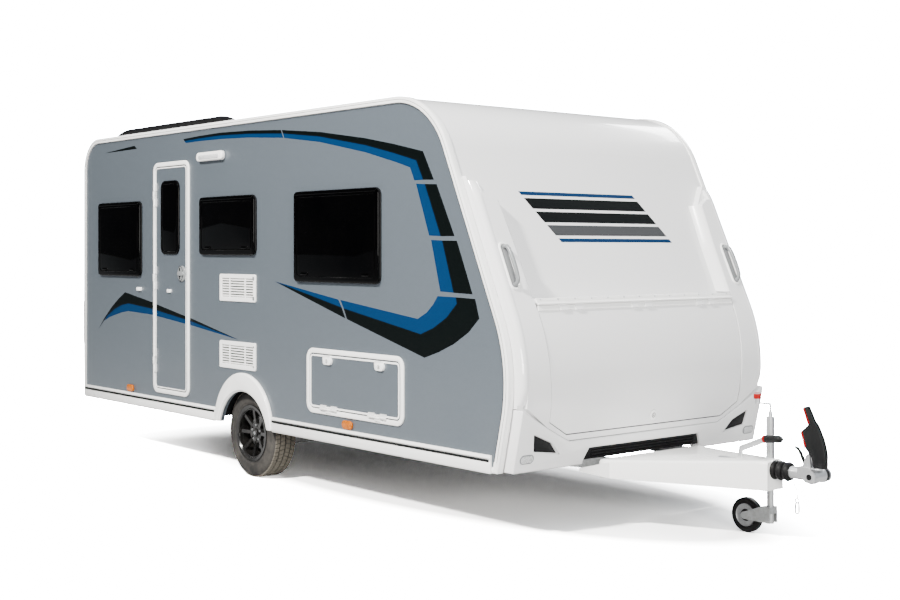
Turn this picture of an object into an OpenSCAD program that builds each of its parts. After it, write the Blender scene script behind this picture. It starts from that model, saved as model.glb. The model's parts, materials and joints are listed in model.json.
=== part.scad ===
// Single-axle touring caravan with its door on the right. Sizes are in millimetres.
// The modules are drawn with the axle above the origin and the tow hitch towards +X,
// +Y to the left and +Z up; in_frame() then shifts the whole so that it stands centred.

/* [Body shell] */
// Width over the outer faces of the side walls
body_w = 2220; // [2150:10:2400]
// Height of the roof skin above the ground
roof_z = 2550; // [2480:10:2650]
// Height of the lower edge of the walls above the ground
sill_z = 370; // [360:1:380]
// Distance from the axle back to the rear wall
tail_x = 2615; // [2560:5:2700]
// Thickness of walls and roof
wall_t = 30; // [26:1:34]
// Thickness of the floor panel
floor_t = 40; // [30:1:60]
// Radius of the roof's rear corner
tail_r = 260; // [150:10:300]
// Distance ahead of the axle where the roof line meets the nose line
nose_top_x = 2111; // [2050:1:2160]
// Radius between roof and nose
nose_r = 540; // [400:10:600]
// Distance of the nose's knee ahead of the axle
knee_x = 2832; // [2800:1:2860]
// Height of the nose's knee
knee_z = 966; // [940:1:1000]
// Radius of the nose's knee
knee_r = 900; // [700:10:1000]
// Distance of the nose's lower edge ahead of the axle
nose_low_x = 2695; // [2660:1:2720]
// Width of the edge rail on the side wall
rail_w = 35; // [28:1:45]
// Thickness of the edge rail
rail_t = 8; // [5:0.5:12]

/* [Side openings] */
// Rear window: distance from the rear wall to its rear edge
win_tail_gap = 306; // [280:1:340]
// Rear window: distance from its front edge to the door frame
win_door_gap = 201; // [170:1:230]
// Front window: middle along the body
win_front_x = 1148; // [1080:1:1200]
// Front window: width
win_front_w = 950; // [800:1:1000]
// Height of the front and rear windows
win_tall_h = 605; // [500:1:640]
// Middle window: middle along the body
win_mid_x = -216; // [-260:1:-180]
// Middle window: width
win_mid_w = 773; // [700:1:820]
// Middle window: height
win_mid_h = 430; // [380:1:450]
// Distance from the roof down to the upper edge of all windows
win_drop = 538; // [490:1:570]
// Corner radius of the windows
win_r = 32; // [15:1:50]
// Lap of a window frame over the wall
win_lap = 28; // [20:1:40]
// Thickness of a window frame
win_frame_t = 12; // [8:1:16]
// Thickness of a window pane
win_pane_t = 16; // [10:1:20]
// Door frame: middle along the body
door_x = -1069; // [-1085:1:-1055]
// Door frame: width
door_w = 572; // [550:2:590]
// Door frame: lower edge
door_low_z = 505; // [500:1:520]
// Door frame: distance from the roof down to its upper edge
door_drop = 248; // [220:1:285]
// Corner radius of the door frame
door_r = 70; // [60:1:90]
// Width of the frames around door and hatches
hatch_rim = 32; // [28:1:38]
// How far the frames stand proud of the wall
hatch_proud = 12; // [10:1:14]
// Gap all round between a frame and its leaf
leaf_gap = 5; // [5:0.5:8]
// Side locker: middle along the body
locker_x = 1332; // [1300:1:1360]
// Side locker: frame width
locker_w = 1048; // [980:1:1100]
// Side locker: lower edge of its frame
locker_low_z = 547; // [540:1:560]
// Side locker: frame height
locker_h = 427; // [390:1:440]
// Service hatch on the left: middle along the body
service_x = -1900; // [-2000:5:-1300]
// Service hatch: frame width
service_w = 430; // [380:5:500]
// Service hatch: frame height
service_h = 380; // [330:5:430]
// Corner radius of the hatch frames
hatch_r = 70; // [60:1:90]
// Refrigerator vents: middle along the body
vent_x = -85; // [-110:1:-60]
// Refrigerator vents: width
vent_w = 492; // [440:2:510]
// Refrigerator vents: height
vent_h = 196; // [160:2:200]
// Lower vent: middle height
vent_low_z = 866; // [860:1:890]
// Upper vent: middle height
vent_high_z = 1349; // [1310:1:1390]

/* [Nose] */
// Thickness of the front surround
surround_t = 72; // [70:1:74]
// Thickness of the front surround along the edge rails
nose_edge_t = 38; // [30:1:44]
// Width of the thinner band along the edge rails
nose_edge_w = 45; // [35:1:60]
// Thickness of the front bumper
bumper_t = 84; // [78:1:88]
// Height of the gas lid's upper edge
lid_top_z = 1289; // [1280:1:1295]
// Gas lid: distance of its upper corners from the walls' outer faces
lid_top_in = 244; // [232:1:270]
// Gas lid: distance of its lower corners from the walls' outer faces
lid_low_in = 276; // [270:1:290]
// Gas lid: distance of the ends of its lower edge from the walls' outer faces
lid_bottom_in = 425; // [410:1:460]
// Height of the gas lid's lower corners
lid_corner_z = 650; // [645:1:665]
// Height of the gas lid's lower edge
lid_low_z = 569; // [566:1:575]
// Gap behind the gas lid
lid_gap = 48; // [46:0.5:50]
// Thickness of the gas lid
lid_t = 20; // [16:1:21]
// Front of the cabin bulkhead behind the gas locker
gas_depth_x = 2200; // [2150:5:2300]

/* [Wheels and axle] */
// Radius of the road tyres
tyre_r = 312; // [300:1:320]
// Width of the road tyres
tyre_w = 195; // [175:5:205]
// Distance from the walls' outer faces in to the middles of the tyres
wheel_in = 150; // [140:2:160]
// Radius of the rim's bead seat
rim_seat_r = 178; // [170:1:184]
// Radius of the rim's flange
rim_flange_r = 190; // [187:1:196]
// Number of spokes of a rim
spokes = 8; // [5:1:12]
// Radius of the brake drums
drum_r = 118; // [100:1:130]
// Radius of the stub axles
stub_r = 18; // [14:0.5:22]
// Radius of the wheel arch trim's outer edge
arch_outer_r = 388; // [380:1:400]
// Height of the outer edge's centre
arch_outer_z = 359; // [350:1:365]
// Radius of the wheel arch trim's inner edge
arch_inner_r = 334; // [325:1:338]
// Height of the inner edge's centre
arch_inner_z = 280; // [275:1:286]
// How far the arch trim stands proud of the wall
arch_proud = 26; // [20:1:32]
// Inner radius of the wheel boxes
well_r = 385; // [370:1:395]
// Inner width of the wheel boxes
well_w = 275; // [260:1:285]

/* [Chassis and hitch] */
// Height of the chassis beams
beam_h = 70; // [60:1:72]
// Half the distance over the chassis beams
beam_y = 520; // [480:5:560]
// Distance of the drawbar's bend ahead of the axle
bend_x = 2300; // [2200:10:2400]
// Half the distance over the drawbar at its front end
drawbar_y = 105; // [100:1:112]
// Front end of the drawbar ahead of the axle
drawbar_x = 3648; // [3630:1:3665]
// Height of the draw tube's middle
hitch_z = 412; // [408:1:416]
// Tow ball's middle ahead of the axle
ball_x = 4006; // [3995:1:4030]
// Radius of the tow ball's socket
ball_r = 25.2; // [25.1:0.05:25.4]
// Jockey wheel tube: distance ahead of the axle
jockey_x = 3603; // [3590:1:3610]
// Jockey wheel tube: distance to the left of the middle
jockey_y = 150; // [148:1:156]
// Outer radius of the jockey wheel's clamped tube
jockey_tube_r = 24; // [23:0.5:26]
// Radius of the jockey wheel's stem
jockey_stem_r = 20; // [18:0.5:21]
// Radius of the jockey wheel
jockey_wheel_r = 100; // [95:1:105]
// Width of the jockey wheel
jockey_wheel_w = 50; // [40:1:56]
// How far the jockey wheel trails behind its stem
jockey_trail = 160; // [150:1:170]
// Length of a corner steady's leg
steady_len = 400; // [360:5:405]
// Front steadies: distance of their hinges ahead of the axle
steady_front_x = 2060; // [2000:5:2120]
// Rear steadies: distance of their hinges from the rear wall
steady_tail_gap = 555; // [500:5:620]
// Distance of the steadies from the walls' outer faces
steady_in = 200; // [160:5:260]

/* [Roof and tail] */
// Roof rails: distance from the walls' outer faces
roof_rail_in = 175; // [120:5:250]
// Roof rails: distance of their rear ends from the rear wall
roof_rail_gap = 265; // [260:5:400]
// Roof rails: front end
roof_rail_front = -450; // [-550:5:-350]
// Roof rails: height above the roof
roof_rail_h = 85; // [60:1:100]
// Length of the front roof light
roof_light_l = 700; // [500:10:800]
// Height of the roof lights
roof_light_h = 55; // [40:1:80]
// Rear lamps: height
tail_lamp_h = 410; // [350:5:450]
// Thickness of the rear bumper
tail_bumper_t = 45; // [35:1:50]

/* [Hidden] */
$fn = 96;
half = body_w / 2;
arc_ease = 0.02;
floor_z = sill_z + wall_t;
floor_top = floor_z + floor_t;
skirt_top = 470;
skirt_t = 22;
win_top_z = roof_z - win_drop;
door_h = roof_z - door_drop - door_low_z;
win_rear_w = door_x - door_w / 2 - win_door_gap + tail_x - win_tail_gap;
win_rear_x = -tail_x + win_tail_gap + win_rear_w / 2;
door_pane_w = 287;
door_pane_h = 570;
door_pane_z = door_low_z + door_h - 431;
door_handle_off = 184;
door_handle_z = door_low_z + 935;
awning_lamp_x = -447;
awning_lamp_z = roof_z - 239;
awning_lamp_l = 374;
marker_z = skirt_top + 33;
latch_spread = 282;
hub_y = half - wheel_in;
beam_z = floor_z - beam_h;
beam_t = 4;
flange_w = 45;
rim_half = 84;
tube_x = 170;
tube_r = 52;
tube_z = beam_z - tube_r * cos(30);
hinge_r = 7;
hinge_out = hatch_proud + hinge_r + 1;
knuckle = 60;
knuckle_gap = 0.3;
arm_y = hub_y - 150;
arm_t = 40;
lid_half_top = half - lid_top_in;
lid_half_low = half - lid_low_in;
lid_half_bottom = half - lid_bottom_in;
lid_hinge_out = surround_t + 10;
lid_hinge_y = lid_half_top - 266;
gas_half = lid_half_top + 34;
gas_top_z = lid_top_z + 41;
gas_t = 12;
lid_hinge_r = 6;
nose_run = nose_top_x - knee_x;
nose_rise = roof_z - knee_z;
nose_tilt = atan2(-nose_run, nose_rise);
lid_axis = nose_point(lid_top_z - 9, lid_hinge_out);
jockey_axle = [jockey_x - jockey_trail, jockey_y, jockey_wheel_r];
steady_z = floor_z - 55;
steady_y = half - steady_in;
steady_rear_x = tail_x - steady_tail_gap;
roof_rail_y = half - roof_rail_in;
roof_rail_rear = -tail_x + roof_rail_gap;
roof_light_x = 250;
roof_light_w = 500;
rear_light_x = -1650;
rear_light_w = 400;
chassis_rear = -tail_x + 315;
overrun_x = drawbar_x - 280;
bellows_x = drawbar_x + 80;
bellows_l = 130;
head_x = bellows_x + bellows_l;
cover_low_z = 300;
cover_top_z = 470;
cover_t = 5;
cover_front_x = drawbar_x + 100;
cover_bend_x = bend_x + 628;
cover_rear_x = cover_bend_x - 100;
cover_tip = 115;
pad_x = ball_x + 14;
pad_r = 40;
grip_out = 73;
overall_front = ball_x + max(grip_out, pad_x - ball_x + pad_r);
grille_half = 487;
grille_top_z = 470;
grille_flare = 35;
handle_out = 45;
handle_r = 12;
handle_z = 1500;
handle_l = 220;
handle_front_in = 125;
handle_rear_in = 110;
overall_rear = tail_x + max(tail_bumper_t, handle_out + handle_r);
frame_x = (overall_rear - overall_front) / 2;

// Inner edge of the front surround: distance from the walls' outer faces, height
surround_edge = [[192, 1920], [215, 1650], [224, 1345]];
surround_top_z = 2050;
surround_lip = 38;

// Seam between surround and bumper: distance from the walls' outer faces, height
seam_corner = [264, 614];
seam_end = [446, 527];
seam_side_z = 737;

// Side inserts of the bumper: distance from the walls' outer faces, height
side_insert = [[158, 588], [175, 490], [366, 464], [304, 530]];

// Corners of the side view, anticlockwise: distance ahead of the axle, height, radius
outline = [
    [-tail_x, sill_z, 0],
    [nose_low_x, sill_z, 0],
    [knee_x, knee_z, knee_r],
    [nose_top_x, roof_z, nose_r],
    [-tail_x, roof_z, tail_r]
];

// Side windows: middle, width, height
windows_left = [
    [win_rear_x, win_rear_w, win_tall_h],
    [win_front_x, win_front_w, win_tall_h]
];
windows_right = concat(windows_left, [[win_mid_x, win_mid_w, win_mid_h]]);

// Side markers: distance ahead of the axle
marker_xs = [-1748, 1272];

// Geometry of a polygon whose corners carry a radius

function unit(v) = v / norm(v);

function flat(c) = [c[0], c[1]];

function around(list, i) = list[(i + len(list)) % len(list)];

function dir_in(c, i) = unit(flat(c[i]) - flat(around(c, i - 1)));

function dir_out(c, i) = unit(flat(around(c, i + 1)) - flat(c[i]));

function inward(d) = [-d[1], d[0]];

// The polygon moved inwards by d, or outwards where d is negative
function inset(c, d) = [
    for (i = [0:len(c) - 1])
        let (
            a = inward(dir_in(c, i)),
            b = inward(dir_out(c, i)),
            p = flat(c[i]) + d * (a + b) / (1 + a * b)
        )
        [p[0], p[1], c[i][2] > 0 ? max(c[i][2] - d, 1) : 0]
];

function reach(c, i) = c[i][2] * tan(acos(dir_in(c, i) * dir_out(c, i)) / 2);

function first_touch(c, i) = flat(c[i]) - reach(c, i) * dir_in(c, i);

function last_touch(c, i) = flat(c[i]) + reach(c, i) * dir_out(c, i);

function arc_centre(c, i) = first_touch(c, i) + c[i][2] * inward(dir_in(c, i));

// A point over the sloping nose: height on the skin, distance outwards from it
function nose_point(z, out) = [
    nose_top_x - nose_run * (roof_z - z) / nose_rise + out * cos(nose_tilt),
    z + out * sin(nose_tilt)
];

// Polygon with true arcs at its corners; each arc crosses its edges a hair before it would touch them
module arc_poly(c) {
    difference() {
        polygon([for (p = c) flat(p)]);
        for (i = [0:len(c) - 1]) {
            if (c[i][2] > 0) {
                difference() {
                    polygon([first_touch(c, i), 2 * flat(c[i]) - arc_centre(c, i), last_touch(c, i)]);
                    translate(arc_centre(c, i)) circle(c[i][2] + arc_ease);
                }
            }
        }
    }
}

// Side view of the body, moved inwards by d
module body_outline(d = 0) {
    arc_poly(inset(outline, d));
}

// Rectangle about the origin with round corners
module round_rect(w, h, r) {
    square([w - 2 * r, h], center = true);
    square([w, h - 2 * r], center = true);
    for (sx = [-1, 1], sy = [-1, 1]) {
        translate([sx * (w / 2 - r), sy * (h / 2 - r)]) circle(r);
    }
}

module round_ring(w, h, r, rim) {
    difference() {
        round_rect(w, h, r);
        round_rect(w - 2 * rim, h - 2 * rim, r - rim);
    }
}

// Side-view shapes extruded across the body from y0 to y1
module slab(y0, y1) {
    translate([0, y1, 0]) rotate([90, 0, 0]) linear_extrude(y1 - y0) children();
}

// Front-view shapes extruded along the body from x0 to x1
module along(x0, x1) {
    translate([x0, 0, 0]) rotate([90, 0, 90]) linear_extrude(x1 - x0) children();
}

// A layer on the left wall, from y0 to y1 outside of its face
module on_wall(y0, y1) {
    slab(half + y0, half + y1) children();
}

module right() {
    mirror([0, 1, 0]) children();
}

module both() {
    children();
    right() children();
}

module in_frame() {
    translate([frame_x, 0, 0]) children();
}

// The part of a layer over the nose, from o0 to o1 outside of the skin, within a front view
module nose_layer(o0, o1, reach_y) {
    intersection() {
        slab(-reach_y, reach_y) {
            difference() {
                body_outline(-o1);
                body_outline(-o0);
            }
        }
        along(1500, 3500) children();
    }
}

// Local frame on the nose: X outwards, Z up along the slope
module on_nose(p, y) {
    translate([p[0], y, p[1]]) rotate([0, -nose_tilt, 0]) children();
}

// Places of the openings in the walls

module at_window(w) {
    translate([w[0], win_top_z - w[2] / 2]) children();
}

module at_door() {
    translate([door_x, door_low_z + door_h / 2]) children();
}

module at_locker() {
    translate([locker_x, locker_low_z + locker_h / 2]) children();
}

module at_service() {
    translate([service_x, locker_low_z + service_h / 2]) children();
}

module at_vents() {
    for (z = [vent_low_z, vent_high_z]) {
        translate([vent_x, z]) children();
    }
}

module wheel_hole() {
    translate([0, arch_inner_z]) circle(arch_inner_r + 8);
}

module hatch_hole(w, h, r) {
    round_rect(w - hatch_rim, h - hatch_rim, r - hatch_rim / 2);
}

module window_holes(list) {
    for (w = list) {
        at_window(w) round_rect(w[1] - 2 * win_lap, w[2] - 2 * win_lap, 8);
    }
}

// Body panels

module floor_panel() color("#6b5b45") {
    difference() {
        slab(-half + wall_t, half - wall_t) {
            intersection() {
                body_outline(wall_t);
                translate([-4000, floor_z]) square([8000, floor_t]);
            }
        }
        both() slab(half - wall_t - well_w - 6, half) translate([0, tyre_r]) circle(well_r + 5);
    }
}

module side_wall_right() color("#8d959b") right() {
    slab(half - wall_t, half) {
        difference() {
            body_outline();
            window_holes(windows_right);
            at_door() hatch_hole(door_w, door_h, door_r);
            at_locker() hatch_hole(locker_w, locker_h, hatch_r);
            at_vents() square([vent_w - 40, vent_h - 40], center = true);
            wheel_hole();
        }
    }
}

module side_wall_left() color("#8d959b") {
    slab(half - wall_t, half) {
        difference() {
            body_outline();
            window_holes(windows_left);
            at_service() hatch_hole(service_w, service_h, hatch_r);
            wheel_hole();
        }
    }
}

// Height of the seams between roof, nose and tail panels
nose_seam_z = roof_z - 340;
tail_seam_z = roof_z - tail_r - 5;

module panel_band(x0, x1, z0, z1) {
    slab(-half + wall_t, half - wall_t) {
        intersection() {
            difference() {
                body_outline();
                body_outline(wall_t);
            }
            translate([x0, z0]) square([x1 - x0, z1 - z0]);
        }
    }
}

module roof_panel() color("#e4e5e3") {
    difference() {
        union() {
            panel_band(-4000, 0, tail_seam_z, 4000);
            panel_band(-10, 4000, nose_seam_z, 4000);
        }
        roof_light_places() linear_extrude(4000) round_rect(roof_light_l - 90, roof_light_w - 90, 30);
        rear_light_place() linear_extrude(4000) round_rect(rear_light_w - 90, rear_light_w - 90, 30);
    }
}

module front_panel() color("#cfd2d2") {
    difference() {
        panel_band(1500, 4000, floor_z, nose_seam_z);
        along(2000, 3500) lid_shape(-62);
    }
}

module rear_panel() color("#e4e5e3") {
    panel_band(-4000, -tail_x + wall_t, floor_z, tail_seam_z);
}

module edge_rails() color("#eceded") both() {
    difference() {
        slab(half - rail_w, half + rail_t) body_outline(-rail_t);
        slab(half - rail_w - 10, half) body_outline();
        slab(half - 5, half + rail_t + 10) body_outline(rail_w);
        translate([-5000, half - 200, -1000]) cube([10000, 400, 1000 + sill_z + 1]);
        translate([-tail_x + rail_w, half - 200, -1000]) {
            cube([tail_x + nose_low_x - 2.2 * rail_w, 400, 1000 + sill_z + rail_w + 1]);
        }
    }
}

// Lower trims of the walls, with a groove along the upper third
module skirt_section() {
    polygon([
        [half, sill_z - 4], [half + skirt_t - 6, sill_z - 4], [half + skirt_t, sill_z + 10],
        [half + skirt_t, skirt_top - 42], [half + skirt_t - 6, skirt_top - 38],
        [half + skirt_t - 6, skirt_top - 22], [half + skirt_t, skirt_top - 18],
        [half + skirt_t - 6, skirt_top], [half, skirt_top]
    ]);
}

module skirts() color("#e8e9e8") both() {
    difference() {
        along(-tail_x + rail_w + 3, nose_low_x - rail_w - 8) skirt_section();
        on_wall(-10, 60) translate([0, arch_outer_z]) circle(arch_outer_r + 2);
    }
}

module arch_shape(grow) {
    difference() {
        translate([0, arch_outer_z]) circle(arch_outer_r - grow);
        translate([0, arch_inner_z]) circle(arch_inner_r + grow);
        translate([-1000, -1000]) square([2000, 1000 + sill_z + 4]);
    }
}

module arch_trims() color("#e8e9e8") both() {
    on_wall(0, arch_proud - 8) arch_shape(0);
    on_wall(arch_proud - 8, arch_proud) arch_shape(9);
}

module wheel_boxes() color("#2b2c2d") both() {
    difference() {
        slab(half - wall_t - well_w - 4, half - wall_t) translate([0, tyre_r]) circle(well_r + 4);
        slab(half - wall_t - well_w, half) translate([0, tyre_r]) circle(well_r);
        translate([-1000, 0, -1000]) cube([2000, 2000, 1000 + floor_z]);
    }
}

// Windows

module window_frames() color("#17191b") {
    for (w = windows_left) {
        on_wall(0, win_frame_t) at_window(w) round_ring(w[1], w[2], win_r + 20, win_lap + 14);
    }
    right() for (w = windows_right) {
        on_wall(0, win_frame_t) at_window(w) round_ring(w[1], w[2], win_r + 20, win_lap + 14);
    }
}

module pane(w) {
    on_wall(win_frame_t, win_frame_t + win_pane_t) {
        at_window(w) round_rect(w[1] - 6, w[2] - 6, win_r);
    }
}

module window_panes() color("#0c0e10") {
    for (w = windows_left) {
        pane(w);
    }
    right() for (w = windows_right) {
        pane(w);
    }
}

// Frames and leaves of door and hatches, drawn about the middle of the opening

module frame_rings(w, h, r) {
    round_ring(w, h, r, hatch_rim);
}

module leaf_shape(w, h, r) {
    d = hatch_rim + leaf_gap;
    round_rect(w - 2 * d, h - 2 * d, r - d);
}

// Upright door hinge: the knuckles of the frame, or those of the leaf
door_axis_x = door_x - door_w / 2 + hatch_rim + leaf_gap / 2;
door_hinge_zs = [door_low_z + 250, door_low_z + door_h / 2, door_low_z + door_h - 250];

module door_hinge_fixed() {
    for (z = door_hinge_zs) {
        translate([door_axis_x, half + hinge_out, z - knuckle / 2]) cylinder(r = hinge_r, h = knuckle);
        translate([door_axis_x - 26, half + hatch_proud, z - knuckle / 2]) cube([26, 7, knuckle]);
    }
}

module door_hinge_moving() {
    for (z = door_hinge_zs, s = [-1, 1]) {
        translate([door_axis_x, half + hinge_out, z + s * (knuckle + knuckle_gap)]) {
            cylinder(r = hinge_r, h = knuckle, center = true);
            translate([0, -7, -knuckle / 2]) cube([26, 6, knuckle]);
            translate([8, -hinge_out + 8, -knuckle / 2]) cube([18, hinge_out - 9, knuckle]);
        }
    }
}

// Level hinge under a hatch whose middle is at x
function hatch_axis_z() = locker_low_z + hatch_rim + leaf_gap / 2;

module hatch_hinge_fixed(x, spread) {
    for (s = [-1, 1]) {
        translate([x + s * spread, half + hinge_out, hatch_axis_z()]) {
            rotate([0, 90, 0]) cylinder(r = hinge_r, h = knuckle, center = true);
            translate([-knuckle / 2, hatch_proud - hinge_out, -24]) cube([knuckle, 7, 24]);
        }
    }
}

module hatch_hinge_moving(x, spread) {
    for (s = [-1, 1], t = [-1, 1]) {
        translate([x + s * spread + t * (knuckle + knuckle_gap), half + hinge_out, hatch_axis_z()]) {
            rotate([0, 90, 0]) cylinder(r = hinge_r, h = knuckle, center = true);
            translate([-knuckle / 2, -7, 0]) cube([knuckle, 6, 26]);
            translate([-knuckle / 2, -hinge_out + 8, 8]) cube([knuckle, hinge_out - 9, 18]);
        }
    }
}

module hatch_frames() color("#eff0f0") {
    right() {
        on_wall(0, hatch_proud) at_door() frame_rings(door_w, door_h, door_r);
        on_wall(0, hatch_proud) at_locker() frame_rings(locker_w, locker_h, hatch_r);
        door_hinge_fixed();
        hatch_hinge_fixed(locker_x, locker_w / 2 - 260);
    }
    on_wall(0, hatch_proud) at_service() frame_rings(service_w, service_h, hatch_r);
    hatch_hinge_fixed(service_x, 0);
}

module door_leaf() color("#8d959b") right() {
    difference() {
        on_wall(-wall_t + 2, 8) at_door() leaf_shape(door_w, door_h, door_r);
        on_wall(-100, 100) translate([door_x, door_pane_z]) {
            round_rect(door_pane_w - 60, door_pane_h - 60, 40);
        }
    }
    door_hinge_moving();
}

module door_window() color("#0c0e10") right() {
    on_wall(8, 22) translate([door_x, door_pane_z]) round_rect(door_pane_w, door_pane_h, 62);
}

module door_handle() color("#dcdddc") right() {
    on_wall(8, 20) translate([door_x + door_handle_off, door_handle_z]) circle(60);
    on_wall(20, 32) translate([door_x + door_handle_off, door_handle_z]) round_rect(92, 32, 14);
}

module hatch_latch(x, z) {
    on_wall(8, 20) translate([x, z]) round_rect(86, 46, 22);
}

module locker_door() color("#8d959b") right() {
    on_wall(-wall_t + 2, 8) at_locker() leaf_shape(locker_w, locker_h, hatch_r);
    hatch_hinge_moving(locker_x, locker_w / 2 - 260);
    for (s = [-1, 1]) {
        hatch_latch(locker_x + s * latch_spread, locker_low_z + locker_h - hatch_rim - leaf_gap - 25);
    }
}

module service_door() color("#8d959b") {
    on_wall(-wall_t + 2, 8) at_service() leaf_shape(service_w, service_h, hatch_r);
    hatch_hinge_moving(service_x, 0);
    hatch_latch(service_x, locker_low_z + service_h - hatch_rim - leaf_gap - 25);
}

// Fittings on the right wall

module fridge_vents() color("#e6e7e7") right() {
    difference() {
        union() {
            on_wall(0, 10) at_vents() round_rect(vent_w, vent_h, 14);
            on_wall(-wall_t + 4, 0) at_vents() square([vent_w - 42, vent_h - 42], center = true);
        }
        on_wall(-wall_t + 10, 40) at_vents() {
            for (i = [-2:2]) {
                translate([0, i * vent_h / 7]) square([vent_w - 70, vent_h / 14], center = true);
            }
        }
    }
}

module awning_lamp() color("#f2f2ee") right() {
    on_wall(0, 36) translate([awning_lamp_x, awning_lamp_z]) round_rect(awning_lamp_l, 66, 28);
}

module side_markers() color("#e07b12") both() {
    for (x = marker_xs) {
        on_wall(0, 20) translate([x, marker_z]) round_rect(105, 56, 26);
    }
}

// Nose

// Front view of the gas lid, grown by d
module lid_shape(d) {
    polygon([
        [lid_half_top + d, lid_top_z + d], [-lid_half_top - d, lid_top_z + d],
        [-lid_half_low - d, lid_corner_z - d / 2], [-lid_half_bottom - d / 2, lid_low_z - d],
        [lid_half_bottom + d / 2, lid_low_z - d], [lid_half_low + d, lid_corner_z - d / 2]
    ]);
}

surround_half = half - rail_w - 2;

// A point of the front view, given by its distance from the wall's outer face and its height
function from_wall(p, s) = [s * (half - p[0]), p[1]];

// Everything above the seam on one side, drawn in by side and raised by d
module seam_line(s, d, side = 0) {
    polygon([
        [s * (surround_half - side), seam_side_z + d], from_wall(seam_corner, s) + [0, d],
        from_wall(seam_end, s) + [0, d], [0, seam_end[1] + d], [0, 1000], [s * (surround_half - side), 1000]
    ]);
}

// Front view of the surround, drawn in from the edge rails by side
module surround_view(side) {
    edge = surround_half - side;
    difference() {
        union() {
            for (s = [-1, 1]) {
                polygon(concat(
                    [[s * edge, 900], [s * edge, surround_top_z - 2 * side]],
                    [[s * (edge - surround_lip), surround_top_z - 2 * side]],
                    [for (p = surround_edge) from_wall(p, s)],
                    [[0, surround_edge[2][1]], [0, 900]]
                ));
                seam_line(s, 3, side);
            }
        }
        lid_shape(6);
        translate([-lid_half_top - 6, lid_top_z - 20]) {
            square([2 * lid_half_top + 12, lid_axis[1] + 8 - lid_top_z + 20]);
        }
    }
}

module lid_hinge(fixed) {
    for (y = [-lid_hinge_y, 0, lid_hinge_y]) {
        if (fixed) {
            on_nose(lid_axis, y) {
                rotate([90, 0, 0]) cylinder(r = lid_hinge_r, h = knuckle, center = true);
                translate([surround_t - lid_hinge_out - 1, -knuckle / 2, 2]) cube([8, knuckle, 34]);
            }
        } else {
            for (s = [-1, 1]) {
                on_nose(lid_axis, y + s * (knuckle + knuckle_gap)) {
                    rotate([90, 0, 0]) cylinder(r = lid_hinge_r, h = knuckle, center = true);
                    translate([lid_gap + lid_t - lid_hinge_out - 1, -knuckle / 2, -40]) {
                        cube([lid_hinge_out - lid_gap - lid_t - 1, knuckle, 38]);
                    }
                }
            }
        }
    }
}

module front_surround() color("#dfe1e1") {
    nose_layer(0, nose_edge_t, surround_half) surround_view(0);
    nose_layer(nose_edge_t - 1, surround_t, surround_half) surround_view(nose_edge_w);
    lid_hinge(true);
}

module gas_lid() color("#d3d6d6") {
    nose_layer(lid_gap, lid_gap + lid_t, half) lid_shape(0);
    lid_hinge(false);
}

module bumper_view() {
    foot = grille_half + grille_flare;
    difference() {
        translate([-surround_half, sill_z + 4]) square([2 * surround_half, 500]);
        for (s = [-1, 1]) {
            seam_line(s, 0);
        }
        grille_view(0);
        translate([-foot, 0]) square([2 * foot, floor_z]);
    }
}

// Half the width of the middle insert at height z
function grille_side(z) = grille_half + (grille_top_z - z) * grille_flare / (grille_top_z - floor_z);

// Dark inserts of the bumper, drawn in by d; the openings for them have no d and reach below the floor
module grille_view(d) {
    top = grille_top_z - d;
    low = floor_z + (d > 0 ? d : -1);
    polygon([
        [-grille_side(top) + d, top], [grille_side(top) - d, top],
        [grille_side(low) - d, low], [-grille_side(low) + d, low]
    ]);
    for (s = [-1, 1]) {
        polygon([
            from_wall(side_insert[0], s) + [-s * d, -2 * d], from_wall(side_insert[1], s) + [-s * d, d],
            from_wall(side_insert[2], s) + [s * d, d], from_wall(side_insert[3], s) + [s * d, -d]
        ]);
    }
}

module front_bumper() color("#e3e5e5") {
    nose_layer(0, bumper_t, surround_half) bumper_view();
}

module bumper_grilles() color("#222426") {
    difference() {
        nose_layer(0, bumper_t - 14, surround_half) grille_view(0.5);
        for (i = [-1:1]) {
            nose_layer(bumper_t - 24, bumper_t, surround_half) {
                translate([27 - grille_half, floor_z + 31 + i * 18]) square([2 * grille_half - 54, 8]);
            }
        }
    }
}

module bow_handle(l) {
    cylinder(r = handle_r, h = l, center = true);
    for (s = [-1, 1]) {
        translate([-handle_out, 0, s * (l / 2 - handle_r - 2)]) {
            rotate([0, 90, 0]) cylinder(r = handle_r, h = handle_out);
        }
    }
}

module grab_handles() color("#d5d7d8") both() {
    on_nose(nose_point(handle_z, surround_t + handle_out), half - handle_front_in) bow_handle(handle_l);
    translate([-tail_x - handle_out, half - handle_rear_in, handle_z]) {
        rotate([0, 0, 180]) bow_handle(handle_l);
    }
}

module gas_locker() color("#b9bbba") {
    difference() {
        slab(-gas_half, gas_half) {
            intersection() {
                body_outline(wall_t);
                translate([gas_depth_x, floor_top]) square([2000, gas_top_z - floor_top]);
            }
        }
        translate([gas_depth_x + gas_t, gas_t - gas_half, 0]) {
            cube([2000, 2 * gas_half - 2 * gas_t, gas_top_z - gas_t]);
        }
    }
}

// Tail

module rear_bumper() color("#e3e5e5") {
    along(-tail_x - tail_bumper_t, -tail_x) {
        difference() {
            translate([0, sill_z + 4 + 125]) round_rect(2 * surround_half, 250, 40);
            translate([0, sill_z + 150]) round_rect(560, 140, 10);
        }
    }
}

// Lamps that lap over the edge rails, with a base between the rails
tail_lamp_t = 48;
tail_lamp_w = 115;
tail_lamp_z = 1000;

module rear_lamps() color("#a31612") both() {
    along(-tail_x - tail_lamp_t, -tail_x - rail_t) translate([half - 5 - tail_lamp_w / 2, tail_lamp_z]) {
        round_rect(tail_lamp_w, tail_lamp_h, 40);
    }
    along(-tail_x - rail_t - 1, -tail_x) translate([half - rail_w - 2 - 38, tail_lamp_z]) {
        square([76, tail_lamp_h - 80], center = true);
    }
}

// Roof

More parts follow.
